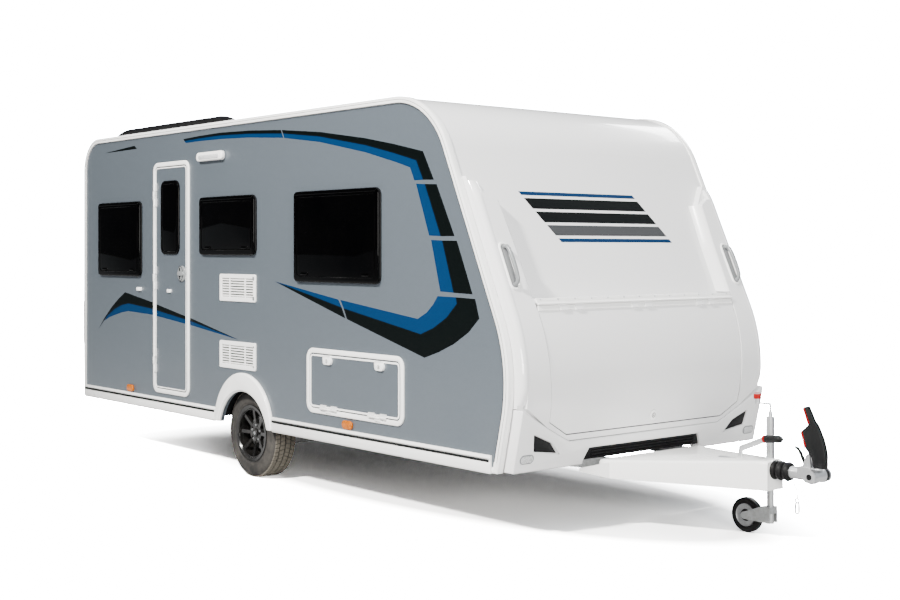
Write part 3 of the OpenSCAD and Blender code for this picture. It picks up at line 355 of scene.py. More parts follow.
def side_skin():
    f = Finish("side_skin", tuple(paint().side), 0.36, metallic=0.25, coat_weight=0.25, coat_roughness=0.10)
    flake = f.place("flake", color=f.color, flake=0.10, flake_scale=700.0, wave=0.12)
    # Hinge knuckles and catches, which stand out from the skin, are white
    axes = node(f.tree, "ShaderNodeSeparateXYZ", [(0, object_place(f.tree))])
    raised = math_node(f.tree, "GREATER_THAN", math_node(f.tree, "ABSOLUTE", axes.outputs["Y"]), HALF + 0.0095)
    f.soiled(blend_colour(f.tree, raised, flake.outputs["Color"], tuple(paint().trim)), 0.10, 1.1, 2.0)
    f.bump(flake.outputs["Height"], 0.0015)
    return f.material


def flaked(name, color, roughness, flake, depth, dust=None, **sockets):
    """Paint or film; flake is (amount, scale, wave), dust is (amount, top, patch scale)."""
    f = Finish(name, color, roughness, **sockets)
    amount, scale, wave = flake
    paint_flake = f.place("flake", color=color, flake=amount, flake_scale=scale, wave=wave)
    if dust:
        f.soiled(paint_flake.outputs["Color"], *dust)
    else:
        f.put("Base Color", paint_flake.outputs["Color"])
    f.bump(paint_flake.outputs["Height"], depth)
    return f.material


def gloss_white(name, color, roughness, wave):
    return flaked(name, color, roughness, (0.015, 300.0, wave), 0.0012, (0.12, 1.0, 2.5),
                  coat_weight=0.5, coat_roughness=0.05)


def stripe_film(name, color):
    return flaked(name, color, 0.42, (0.12, 500.0, 0.1), 0.0006, specular=0.06)


def moulded(name, color, roughness, grain, fade, dust=None, **sockets):
    """Plastic, rubber or board; grain is (scale, depth, cloud), dust is (amount, top, patch scale)."""
    f = Finish(name, color, roughness, **sockets)
    grains = f.grained(*grain, fade)
    if dust:
        f.soiled(grains.outputs["Color"], *dust)
    return f.material


def black_plastic(name, color=(0.006, 0.0062, 0.0065, 1.0), roughness=0.42, cloud=0.5):
    return moulded(name, color, roughness, (520.0, 0.00015, cloud), tint(color, 1.8), specular=0.12)


def rubber(name, color):
    return moulded(name, color, 0.50, (300.0, 0.0003, 0.6), tint(color, 2.2), (0.02, 0.9, 9.0), specular=0.15)


def tinted_glass(name, color, roughness=0.035):
    f = Finish(name, color, roughness, specular=0.10)
    flake = f.place("flake", color=color, flake=0.05, flake_scale=40.0, wave=0.12)
    dust = f.place("soil", amount=0.006, top=3.0, patch_scale=3.0, roughness=roughness)
    f.tree.links.new(flake.outputs["Color"], dust.inputs["Color"])
    f.put("Base Color", dust.outputs["Color"])
    f.bump(flake.outputs["Height"], 0.0008)
    return f.material


def lens(name, color):
    f = Finish(name, color, 0.12, specular=0.3, coat_weight=0.25, coat_roughness=0.05)
    links = [("Vector", object_place(f.tree)), ("Scale", 130.0)]
    cells = node(f.tree, "ShaderNodeTexVoronoi", links, feature="F1").outputs["Distance"]
    f.put("Base Color", blend_colour(f.tree, spread(f.tree, cells, 0.0, 0.9), color, tint(color, 0.45)))
    f.bump(cells, 0.0006)
    return f.material


def galvanised():
    f = Finish("galvanised", (0.50, 0.52, 0.53, 1.0), 0.38, metallic=0.85)
    zinc = f.place("spangle", color=f.color, roughness=0.36)
    dust = f.soiled(zinc.outputs["Color"], 0.45, 0.7, 6.0)
    f.tree.links.new(zinc.outputs["Roughness"], dust.inputs["Roughness"])
    f.bump(zinc.outputs["Height"], 0.0003)
    return f.material


def bright_steel(name, color, roughness):
    f = Finish(name, color, roughness, metallic=1.0)
    zinc = f.place("spangle", color=color, dull=(0.56, 0.57, 0.58, 1.0), scale=420.0, roughness=roughness)
    f.put("Base Color", zinc.outputs["Color"])
    f.put("Roughness", zinc.outputs["Roughness"])
    f.bump(zinc.outputs["Height"], 0.00012)
    return f.material


def tyre_rubber():
    """Black sidewalls, and a tread that is pale with dry road dust."""
    f = Finish("tyre", (0.014, 0.0135, 0.013, 1.0), 0.70, specular=0.3)
    grain = f.grained(300.0, 0.0003, 0.6, (0.030, 0.029, 0.027, 1.0))
    reach = vector_node(f.tree, "SUBTRACT", object_place(f.tree), (AXLE_X, 0.0, AXLE_Z))
    radius = vector_node(f.tree, "LENGTH", vector_node(f.tree, "MULTIPLY", reach, (1.0, 0.0, 1.0)))
    tread = spread(f.tree, radius, 0.3000, 0.3085)
    f.soiled(blend_colour(f.tree, tread, grain.outputs["Color"], (0.125, 0.113, 0.090, 1.0)), 0.35, 0.9, 9.0)
    return f.material


@functools.cache
def finishes():
    """Every material by the name that the pieces ask for."""
    colours = paint()
    return {
        "side_skin": side_skin(),
        "white_skin": gloss_white("white_skin", tuple(colours.white), 0.22, 0.35),
        "nose_skin": gloss_white("nose_skin", tuple(colours.white), 0.14, 0.2),
        "rail": gloss_white("rail", tuple(colours.trim), 0.26, 0.05),
        "white_plastic": moulded("white_plastic", tuple(colours.trim), 0.38, (700.0, 0.00012, 0.18),
                                 (0.74, 0.74, 0.71, 1.0), (0.25, 0.6, 4.0)),
        "black_plastic": black_plastic("black_plastic"),
        "tinted_glass": tinted_glass("tinted_glass", tuple(colours.glass)),
        "roof_glass": tinted_glass("roof_glass", (0.05, 0.055, 0.06, 1.0), 0.12),
        "lamp_white": lens("lamp_white", (0.75, 0.76, 0.77, 1.0)),
        "lamp_amber": lens("lamp_amber", (0.60, 0.150, 0.0008, 1.0)),
        "lamp_red": lens("lamp_red", (0.36, 0.004, 0.004, 1.0)),
        "galvanised": galvanised(),
        # The drums' near black paints the shade inside the wheel, seen between the spokes
        "drum": bright_steel("drum", (0.035, 0.034, 0.032, 1.0), 0.55),
        "cast": bright_steel("cast", (0.30, 0.31, 0.32, 1.0), 0.42),
        "tyre": tyre_rubber(),
        "rim": flaked("rim_black", (0.0045, 0.0045, 0.0045, 1.0), 0.20, (0.3, 1500.0, 0.1), 0.0004, (0.10, 0.7, 12.0),
                      metallic=0.2, coat_weight=0.35, coat_roughness=0.04),
        "rubber": rubber("rubber", (0.0025, 0.0025, 0.0028, 1.0)),
        "coupling_steel": bright_steel("coupling_steel", (0.74, 0.75, 0.76, 1.0), 0.30),
        # Grey inside of the gas locker; the pads in the handle cups use it as painted shade
        "locker_inside": black_plastic("locker_inside", (0.22, 0.225, 0.23, 1.0), 0.55, 0.06),
        "floor": moulded("floor_board", (0.055, 0.05, 0.045, 1.0), 0.7, (160.0, 0.0005, 0.7),
                         (0.12, 0.105, 0.085, 1.0), (0.4, 0.8, 5.0)),
        "cable": black_plastic("cable", (0.02, 0.02, 0.021, 1.0), 0.35),
        "stripe_dark": stripe_film("stripe_dark", tuple(colours.stripe_dark)),
        "stripe_blue": stripe_film("stripe_blue", tuple(colours.stripe_blue)),
        # Dark rubber-like strips: the dark lines in the edge profiles, and painted shade in the gap round the gas lid
        "dark_line_and_gap_shade": rubber("dark_line_and_gap_shade", (0.02, 0.02, 0.021, 1.0)),
        "stripe_grey": stripe_film("stripe_grey", (0.045, 0.047, 0.050, 1.0)),
        "satin_grey": moulded("satin_grey", (0.19, 0.20, 0.205, 1.0), 0.30, (520.0, 0.0001, 0.3),
                              (0.25, 0.26, 0.26, 1.0)),
        "red_plastic": moulded("red_plastic", (0.23, 0.0012, 0.002, 1.0), 0.36, (500.0, 0.0001, 0.3),
                               (0.18, 0.003, 0.003, 1.0), specular=0.15),
    }


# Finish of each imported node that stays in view
NODE_FINISH = {
    "side_skin": ["side_wall_right", "side_wall_left", "door_leaf", "locker_door", "service_door"],
    "white_skin": ["roof_panel", "rear_panel"],
    "nose_skin": ["front_panel", "gas_lid", "front_surround"],
    "black_plastic": ["wheel_boxes"],
    "galvanised": ["chassis_frame", "axle_tube", "suspension_arms", "jockey_tube", "jockey_stem", "steady_brackets"],
    "cast": ["overrun_body"],
    "drum": ["drum_right", "drum_left"],
    "rim": ["rim_right", "rim_left"],
    "rubber": ["bellows", "jockey_wheel"],
    "coupling_steel": ["coupling_head", "breakaway_hook"],
    "locker_inside": ["gas_locker"],
    "floor": ["floor_panel"],
}


def dress(thing, finish):
    """Give every face of an object one finish."""
    thing.data.materials.clear()
    thing.data.materials.append(finishes()[finish])


# Meshes in code


def new_piece(name, bm, finish, body="caravan", angle=35.0, replaces=()):
    """Turn a bmesh into a named piece that rides on a body; edges over the angle stay sharp."""
    bmesh.ops.recalc_face_normals(bm, faces=bm.faces)
    mesh = bpy.data.meshes.new(name)
    bm.to_mesh(mesh)
    bm.free()
    mesh.shade_smooth()
    mesh.set_sharp_from_angle(angle=math.radians(angle))
    made = bpy.data.objects.new(name, mesh)
    bpy.context.collection.objects.link(made)
    dress(made, finish)
    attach(made, body)
    if replaces:
        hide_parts(*replaces)
    return made


@contextlib.contextmanager
def piece(name, finish, body="caravan", angle=35.0, replaces=()):
    """A piece whose mesh is shaped in the with block."""
    bm = bmesh.new()
    yield bm
    new_piece(name, bm, finish, body, angle, replaces)


def full(share):
    """Fill out the cosine or sine of a round section towards a rounded square."""
    return math.copysign(abs(share) ** 0.6, share)


def middle_of(name):
    low, high = (Vector(corner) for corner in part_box(name))
    return (low + high) / 2


def loft(bm, rings, wrap=False):
    """Skin a row of closed rings; the ends are capped, or joined to each other."""
    rows = [[bm.verts.new(p) for p in ring] for ring in rings]
    pairs = list(zip(rows, rows[1:]))
    if wrap:
        pairs.append((rows[-1], rows[0]))
    else:
        bm.faces.new(rows[0][::-1])
        bm.faces.new(rows[-1])
    for a, b in pairs:
        for i in range(len(a)):
            bm.faces.new((a[i - 1], a[i], b[i], b[i - 1]))


def rounded(w, h, r, n=6):
    """Outline of a rectangle with round corners."""
    points = []
    for cx, cz, start in ((1, 1, 0), (-1, 1, 90), (-1, -1, 180), (1, -1, 270)):
        for i in range(n + 1):
            a = math.radians(start + 90 * i / n)
            points.append((cx * (w / 2 - r) + r * math.cos(a), cz * (h / 2 - r) + r * math.sin(a)))
    return points


def rings_of(place, w, h, r, profile):
    """Rings of a round-cornered outline; profile lists (inset, height over the surface)."""
    return [[place(x, z, out) for x, z in rounded(w - 2 * i, h - 2 * i, max(r - i, 0.0005))] for i, out in profile]


def pad(bm, place, w, h, r, thick, soft=0.003, sunk=0.0):
    """Low pad with a soft upper edge."""
    loft(bm, rings_of(place, w, h, r, [
        (0.0, -sunk), (0.0, thick - soft), (soft * 0.3, thick - soft * 0.3), (soft, thick)]))


def border(bm, place, w, h, r, wide, thick, soft=0.0015, sunk=0.0):
    """Flat ring round a round-cornered outline."""
    loft(bm, rings_of(place, w, h, r, [
        (0.0, -sunk), (0.0, thick - soft), (soft, thick), (wide - soft, thick), (wide, thick - soft),
        (wide, -sunk)]), wrap=True)


def tube(bm, path, radius, sides=10):
    """Round bar along a path; radius is one number or one for each point."""
    points = [Vector(p) for p in path]
    sizes = radius if isinstance(radius, (list, tuple)) else [radius] * len(points)
    first = (points[1] - points[0]).normalized()
    across = first.orthogonal().normalized()
    rings = []
    for i, p in enumerate(points):
        along = (points[min(i + 1, len(points) - 1)] - points[max(i - 1, 0)]).normalized()
        across = (across - along * across.dot(along)).normalized()
        other = along.cross(across)
        turns = [2 * math.pi * k / sides for k in range(sides)]
        rings.append([p + sizes[i] * (math.cos(a) * across + math.sin(a) * other) for a in turns])
    loft(bm, rings)


def lathe(bm, profile, centre, axis, sides=32, wrap=False):
    """Turned solid; profile lists (distance along the axis, radius)."""
    along = Vector(axis).normalized()
    across = along.orthogonal().normalized()
    other = along.cross(across)
    turns = [2 * math.pi * k / sides for k in range(sides)]
    loft(bm, [[Vector(centre) + along * s + r * (math.cos(a) * across + math.sin(a) * other) for a in turns]
              for s, r in profile], wrap)


def slab(bm, outline, y0, y1):
    """Flat piece across the caravan; outline lists (distance ahead of the axle, height)."""
    loft(bm, [[Vector((AXLE_X + x, y, z)) for x, z in outline] for y in (y0, y1)])


def on_side(side, x0, z0, base=0.0):
    """Placer on a side wall: -1 is the door side, x0 ahead of the axle, base out from the skin."""
    def place(x, z, out):
        return Vector((AXLE_X + x0 + x, side * (HALF + base + out), z0 + z))
    return place


def on_tail(y0, z0, base=0.0):
    """Placer on the rear panel, base out from it."""
    def place(y, z, out):
        return Vector((WALL_LOW[0] - base - out, y0 + y, z0 + z))
    return place


# Profile of the nose: where its foot, round belly and flat front end, and the arcs' middles and radii
FOOT_TOP, BELLY_TOP, FRONT_TOP = 0.6691, 1.2432, 2.2338
BELLY_X, BELLY_Z, BELLY_R = 1.8867, 0.8705, 0.9
BROW_X, BROW_Z, BROW_R = 1.7634, 2.0101, 0.54
BROW_START = 24.48                  # degrees up from ahead
TAIL_X, TAIL_Z, TAIL_R = -2.355, 2.290, 0.26
FRONT_WAY = (0.9102, 0.4143)        # the flat front faces this way, ahead and up
FOOT_WAY = (0.9746, -0.2240)
WALL_FOOT = 0.43


def nose_at(z, out):
    """Point (ahead of the axle, height) over the nose; z is taken on its skin, out along the normal."""
    if z < FOOT_TOP:
        x, (nx, nz) = 2.695 + (z - 0.370) * 0.22987, FOOT_WAY
    elif z < BELLY_TOP:
        nz = (z - BELLY_Z) / BELLY_R
        nx = math.sqrt(1 - nz * nz)
        x = BELLY_X + BELLY_R * nx
    elif z < FRONT_TOP:
        x, (nx, nz) = 2.832 - (z - 0.966) * 0.45518, FRONT_WAY
    else:
        nz = min((z - BROW_Z) / BROW_R, 1.0)
        nx = math.sqrt(1 - nz * nz)
        x = BROW_X + BROW_R * nx
    return x + out * nx, z + out * nz


def on_front(y, z, out):
    """Point over the nose skin at a level height z."""
    skin = z
    for _ in range(6):
        skin += z - nose_at(skin, out)[1]
    return Vector((AXLE_X + nose_at(skin, out)[0], y, z))


def side_outline(d):
    """Outline of a side from the foot of the nose over the roof to the foot of the tail, drawn in by d."""
    line = [nose_at(WALL_FOOT + 0.03 * k, -d) for k in range(60)] + [nose_at(FRONT_TOP, -d)]
    for k in range(1, 13):
        a = math.radians(BROW_START + (90 - BROW_START) * k / 12)
        line.append((BROW_X + (BROW_R - d) * math.cos(a), BROW_Z + (BROW_R - d) * math.sin(a)))
    for k in range(0, 13):
        a = math.radians(90 + 90 * k / 12)
        line.append((TAIL_X + (TAIL_R - d) * math.cos(a), TAIL_Z + (TAIL_R - d) * math.sin(a)))
    return line + [(-2.615 + d, WALL_FOOT)]


def on_nose(y0=0.0, z0=0.0, base=0.0):
    """Placer on the nose skin."""
    def place(y, z, out):
        x, height = nose_at(z0 + z, base + out)
        return Vector((AXLE_X + x, y0 + y, height))
    return place


@functools.cache
def surface_of(name):
    mesh = NODES[name].data
    return BVHTree.FromPolygons([v.co[:] for v in mesh.vertices], [p.vertices[:] for p in mesh.polygons])


def touch(name, start, aim):
    """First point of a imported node's surface along a ray."""
    place = surface_of(name).ray_cast(Vector(start), Vector(aim).normalized())[0]
    if place is None:
        raise RuntimeError(f"{name}: no surface along the ray")
    return place


def side_height(name, side, x, z):
    """How far a node stands out from the side skin at one place."""
    return abs(touch(name, (AXLE_X + x, side * 3.0, z), (0, -side, 0)).y) - HALF


def body_of(name):
    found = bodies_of(NODES[name])
    return found if isinstance(found, str) else found[0]


@functools.cache
def repeat_tree(kind):
    """Geometry nodes that repeat a part in a row, or in a ring round the Y axis."""
    tree = bpy.data.node_groups.new("parts_in_" + kind, "GeometryNodeTree")
    for label, value in (("Part", "Geometry"), ("Count", "Int"), ("Step", "Vector"), ("Radius", "Float"),
                         ("Phase", "Float"), ("Material", "Material")):
        tree.interface.new_socket(label, in_out="INPUT", socket_type="NodeSocket" + value)
    tree.interface.new_socket("Geometry", in_out="OUTPUT", socket_type="NodeSocketGeometry")
    given = tree.nodes.new("NodeGroupInput").outputs
    sink = tree.nodes.new("NodeGroupOutput").inputs
    index = tree.nodes.new("GeometryNodeInputIndex").outputs[0]
    number = math_node(tree, "ADD", index, given["Phase"])
    if kind == "ring":
        angle = math_node(tree, "DIVIDE", math_node(tree, "MULTIPLY", number, 2 * math.pi), given["Count"])
        x = math_node(tree, "MULTIPLY", given["Radius"], math_node(tree, "COSINE", angle))
        z = math_node(tree, "MULTIPLY", given["Radius"], math_node(tree, "SINE", angle))
        spot = node(tree, "ShaderNodeCombineXYZ", [("X", x), ("Z", z)]).outputs[0]
        turn = node(tree, "ShaderNodeCombineXYZ", [("Y", math_node(tree, "MULTIPLY", angle, -1.0))]).outputs[0]
    else:
        spot, turn = scaled_by(tree, given["Step"], number), (0.0, 0.0, 0.0)
    points = node(tree, "GeometryNodePoints", [("Count", given["Count"]), ("Position", spot)])
    copies = node(tree, "GeometryNodeInstanceOnPoints", [
        ("Points", points.outputs[0]), ("Instance", given["Part"]), ("Rotation", turn)])
    solid = node(tree, "GeometryNodeRealizeInstances", [("Geometry", copies.outputs[0])])
    painted = node(tree, "GeometryNodeSetMaterial", [
        ("Geometry", solid.outputs[0]), ("Material", given["Material"])])
    tree.links.new(painted.outputs[0], sink["Geometry"])
    return tree


def repeated(kind, part, finish, place, **inputs):
    """Plain mesh of a part repeated in a row or a ring, moved to its place."""
    tree = repeat_tree(kind)
    mesh = bpy.data.meshes.new("repeat_part")
    part.to_mesh(mesh)
    part.free()
    carrier = bpy.data.objects.new("repeat_part", mesh)
    bpy.context.collection.objects.link(carrier)
    modifier = carrier.modifiers.new("repeat", "NODES")
    modifier.node_group = tree
    sockets = {item.name.lower(): item.identifier for item in tree.interface.items_tree
               if item.in_out == "INPUT"}
    for key, value in {**inputs, "material": finishes()[finish]}.items():
        modifier[sockets[key]] = value
    shown = carrier.evaluated_get(bpy.context.evaluated_depsgraph_get())
    made = bpy.data.meshes.new_from_object(shown)
    bpy.data.objects.remove(carrier)
    made.transform(Matrix.Translation(place))
    return made


def soften(name, width, segments, finish):
    """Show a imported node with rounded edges; a minus width isn't held back by short edges."""
    bm = bmesh.new()
    bm.from_mesh(NODES[name].data)
    bmesh.ops.remove_doubles(bm, verts=bm.verts, dist=2e-5)
    bmesh.ops.dissolve_limit(bm, angle_limit=math.radians(1.0), verts=bm.verts, edges=bm.edges)
    bmesh.ops.recalc_face_normals(bm, faces=bm.faces)
    sharp = [e for e in bm.edges if len(e.link_faces) == 2 and e.calc_face_angle(0.0) > math.radians(35)]
    bmesh.ops.bevel(bm, geom=sharp, offset=abs(width), offset_type="OFFSET", segments=segments, profile=0.5,
                    affect="EDGES", clamp_overlap=width > 0)
    new_piece(name + "_soft", bm, finish, body_of(name), 40.0, (name,))


class CARAVAN_OT_finish_panels(bpy.types.Operator):
    """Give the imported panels, frames and running gear their finishes"""

    bl_idname = "caravan.finish_panels"
    bl_label = "Finish panels"

    def execute(self, context):
        for finish, nodes in NODE_FINISH.items():
            for name in nodes:
                dress(NODES[name], finish)
        return {"FINISHED"}


# Nodes whose edges are rounded: width in mm, segments, finish
SOFT = {
    "arch_trims": (8, 3, "rail"), "edge_rails": (3, 2, "rail"), "skirts": (-3, 2, "rail"),
    "front_bumper": (-9, 3, "nose_skin"),
    "window_frames": (3, 2, "black_plastic"), "window_panes": (4, 3, "tinted_glass"),
    "door_window": (4, 3, "tinted_glass"), "hatch_frames": (-3, 2, "white_plastic"),
    "awning_lamp": (12, 4, "white_plastic"), "side_markers": (6, 3, "lamp_amber"),
    "door_handle": (4, 2, "satin_grey"), "rear_bumper": (-10, 3, "white_plastic"),
    "rear_lamps": (-6, 3, "lamp_red"),
    "roof_lights": (12, 4, "roof_glass"), "coupling_handle": (4, 2, "black_plastic"),
    "handbrake_lever": (3, 2, "coupling_steel"), "bumper_grilles": (3, 2, "black_plastic"),
    "steady_leg_rear_right": (3, 2, "galvanised"), "steady_leg_rear_left": (3, 2, "galvanised"),
    "steady_leg_front_right": (3, 2, "galvanised"), "steady_leg_front_left": (3, 2, "galvanised"),
}


class CARAVAN_OT_hang_cable(bpy.types.Operator):
    """Hang the breakaway cable from the coupling to its hook"""

    bl_idname = "caravan.hang_cable"
    bl_label = "Hang cable"

    # Route from the coupling's neck down to the hook: ahead of the axle, height
    ROUTE = [(3.864, 0.378), (3.864, 0.368), (3.867, 0.358), (3.872, 0.348), (3.878, 0.338), (3.884, 0.328),
             (3.889, 0.318), (3.892, 0.308), (3.892, 0.294)]

    def execute(self, context):
        corners = [Vector((AXLE_X + x, 0.0, z)) for x, z in self.ROUTE]
        path = [corners[0]]
        for i in range(len(corners) - 1):
            a, b = corners[max(i - 1, 0)], corners[min(i + 2, len(corners) - 1)]
            p, q = corners[i], corners[i + 1]
            for k in (1, 2, 3):
                t = k / 3
                m, n = (q - a) / 2, (b - p) / 2
                path.append((2 * t**3 - 3 * t**2 + 1) * p + (t**3 - 2 * t**2 + t) * m
                            + (3 * t**2 - 2 * t**3) * q + (t**3 - t**2) * n)
        bm = bmesh.new()
        tube(bm, path, 0.003, 12)
        cable = new_piece("breakaway_cord", bm, "cable", "caravan", 60.0, ("breakaway_cable",))
        return {"FINISHED"}


class CARAVAN_OT_soften_panels(bpy.types.Operator):
    """Round the edges of trims, frames, lamps and levers"""

    bl_idname = "caravan.soften_panels"
    bl_label = "Soften panels"

    def execute(self, context):
        for name, (width, segments, finish) in SOFT.items():
            soften(name, width / 1000, segments, finish)
        return {"FINISHED"}


# Films on a side wall: outlines as (ahead of the axle, height)
BAND_TOP = [(-0.886, 2.465), (-0.62, 2.4735), (-0.34, 2.477), (0.06, 2.466), (0.476, 2.4415)]
BAND_MID = [(-0.868, 2.449), (-0.62, 2.4545), (-0.34, 2.457), (0.06, 2.443), (0.491, 2.4165)]
BAND_LOW = [(-0.848, 2.433), (-0.62, 2.4345), (-0.34, 2.431), (0.06, 2.417), (0.507, 2.3865)]
ROOF_TOP = [(0.490, 2.4405), (0.95, 2.396), (1.45, 2.324), (1.75, 2.269), (2.032, 2.209), (2.134, 2.036)]
ROOF_MID = [(0.505, 2.4155), (0.95, 2.3656), (1.45, 2.280), (1.75, 2.2133), (1.967, 2.158), (2.034, 2.039)]
ROOF_LOW = [(0.521, 2.3845), (0.95, 2.3305), (1.45, 2.236), (1.75, 2.1626), (1.908, 2.119), (1.950, 2.039)]
HOOK_OUT = [(2.507, 1.342), (2.542, 1.232), (2.45, 1.150), (2.32, 1.077), (2.18, 1.021), (2.047, 0.980),
            (1.256, 1.178)]
HOOK_MID = [(2.336, 1.347), (2.345, 1.310), (2.25, 1.225), (2.13, 1.160), (2.011, 1.118), (1.218, 1.246)]
HOOK_IN = [(2.170, 1.349), (2.13, 1.300), (2.07, 1.250), (1.982, 1.208), (1.182, 1.299)]
STRIPES = [
    ("stripe_dark", BAND_TOP + BAND_MID[::-1]),
    ("stripe_blue", BAND_MID + BAND_LOW[::-1]),
    ("stripe_dark", ROOF_TOP + ROOF_MID[::-1]),
    ("stripe_blue", ROOF_MID + ROOF_LOW[::-1]),
    ("stripe_dark", [(2.160, 2.008), (2.324, 1.701), (2.198, 1.702), (2.050, 2.013)]),
    ("stripe_blue", [(2.050, 2.013), (2.198, 1.702), (2.091, 1.707), (1.967, 2.018)]),
    ("stripe_dark", [(2.345, 1.674), (2.484, 1.368), (2.316, 1.373), (2.212, 1.676)]),
    ("stripe_blue", [(2.212, 1.676), (2.316, 1.373), (2.195, 1.378), (2.110, 1.680)]),
    ("stripe_dark", HOOK_OUT + HOOK_MID[::-1]),
    ("stripe_blue", HOOK_MID + HOOK_IN[::-1]),
    ("stripe_dark", [(0.403, 1.404), (1.236, 1.1825), (1.196, 1.2505)]),
    ("stripe_blue", [(0.403, 1.404), (1.196, 1.2505), (1.158, 1.3005)]),
    ("stripe_dark", [(-2.240, 2.431), (-1.692, 2.462), (-1.655, 2.435)]),
]
TAIL_TOP = [(-2.348, 0.959), (-2.22, 1.065), (-2.096, 1.151), (-1.97, 1.222), (-1.860, 1.275), (-1.355, 1.202),
            (-0.837, 1.117), (-0.079, 0.978)]
TAIL_MID = [(-2.348, 0.959), (-2.19, 1.068), (-2.046, 1.132), (-1.92, 1.168), (-1.803, 1.185), (-1.355, 1.153),
            (-0.827, 1.091), (-0.079, 0.978)]
TAIL_LOW = [(-2.24, 1.028), (-2.15, 1.060), (-2.046, 1.083), (-1.92, 1.109), (-1.803, 1.123), (-1.355, 1.108),
            (-0.827, 1.059), (-0.079, 0.978)]


def line_at(line, x):
    for (x0, z0), (x1, z1) in zip(line, line[1:]):
        if x0 <= x <= x1:
            return z0 + (z1 - z0) * (x - x0) / (x1 - x0)
    raise ValueError(f"no point of the line at {x}")


def cut_line(line, low, high):
    """The part of a line between two places ahead of the axle."""
    low, high = max(low, line[0][0]), min(high, line[-1][0])
    inner = [p for p in line if low + 1e-4 < p[0] < high - 1e-4]
    return [(low, line_at(line, low)), *inner, (high, line_at(line, high))]


def film(bm, side, outline, base=0.0):
    place = on_side(side, 0.0, 0.0, base)
    loft(bm, [[place(x, z, out) for x, z in outline] for out in (-FILM_SINK, FILM)])


class CARAVAN_OT_lay_stripes(bpy.types.Operator):
    """Lay the dark and blue films along the walls, the door and the nose"""

    bl_idname = "caravan.lay_stripes"
    bl_label = "Lay stripes"

    def execute(self, context):
        leaf = side_height("door_leaf", -1, -0.86, 1.15)
        for side, word in WALLS:
            films = {"stripe_dark": bmesh.new(), "stripe_blue": bmesh.new()}
            for finish, outline in STRIPES:
                film(films[finish], side, outline)
            spans = [(-3.0, -1.357), (-0.781, 0.0)] if side < 0 else [(-3.0, 0.0)]
            for low, high in spans:
                self.swoosh(films, side, low, high, 0.0)
            for finish, bm in films.items():
                new_piece(f"{finish}_{word}", bm, finish)
        films = {"stripe_dark": bmesh.new(), "stripe_blue": bmesh.new()}
        self.swoosh(films, -1, -1.304, -0.834, leaf)
        for finish, bm in films.items():
            new_piece(f"{finish}_door", bm, finish, "entry_door")
        self.nose_bars()
        return {"FINISHED"}

    def swoosh(self, films, side, low, high, base):
        top, mid, bottom = (cut_line(line, low, high) for line in (TAIL_TOP, TAIL_MID, TAIL_LOW))
        joined = [p for p in mid[::-1] if p not in top]
        film(films["stripe_dark"], side, top + joined, base)
        mid = [p for p in mid if p[0] >= bottom[0][0] - 1e-6]
        joined = [p for p in bottom[::-1] if p not in mid]
        film(films["stripe_blue"], side, mid + joined, base)

    def nose_bars(self):
        """Plain level bars with slanted ends across the front panel."""
        place = on_nose()
        # Ends of a bar at one height, and how far they lean for each metre below it
        start, end, level, lean = -0.64, 0.36, 1.95, 0.75
        # Foot and top of each bar
        bars = {"stripe_blue": [(1.950, 1.972), (1.668, 1.690)],
                "stripe_dark": [(1.868, 1.932), (1.787, 1.851)],
                "stripe_grey": [(1.708, 1.770)]}
        for finish, rows in bars.items():
            bm = bmesh.new()
            for low, high in rows:
                foot, top = lean * (level - low), lean * (level - high)
                outline = [(start + foot, low), (end + foot, low), (end + top, high), (start + top, high)]
                loft(bm, [[place(y, z, out) for y, z in outline] for out in (-FILM_SINK, FILM)])
            new_piece(f"{finish}_nose", bm, finish)


# Side windows: middle ahead of the axle, width, height, walls that have one
WINDOWS = [(-1.9325, 0.753, 0.605, (-1, 1)), (1.148, 0.950, 0.605, (-1, 1)), (-0.216, 0.773, 0.430, (-1,))]
WINDOW_TOP = 2.012

# Middles ahead of the axle and heights of the entry door, its window and its handle
DOOR_X, DOOR_Z, DOOR_WINDOW_Z, HANDLE_Z = -1.069, 1.4035, 1.871, 1.44
AWNING_X = -0.447
VENT_X, VENT_W, VENT_H, VENT_RIM = -0.085, 0.492, 0.196, 0.032
VENTS = (0.866, 1.349)

# Hatches: leaf, body, wall, middle ahead of the axle and up, width, height, latches ahead of the axle, their height
HATCHES = [("locker_door", "locker_door_body", -1, 1.332, 0.7605, 0.974, 0.353, (1.059, 1.622), 0.897),
           ("service_door", "service_door_body", 1, -1.900, 0.737, 0.356, 0.306, (-1.900,), 0.845)]


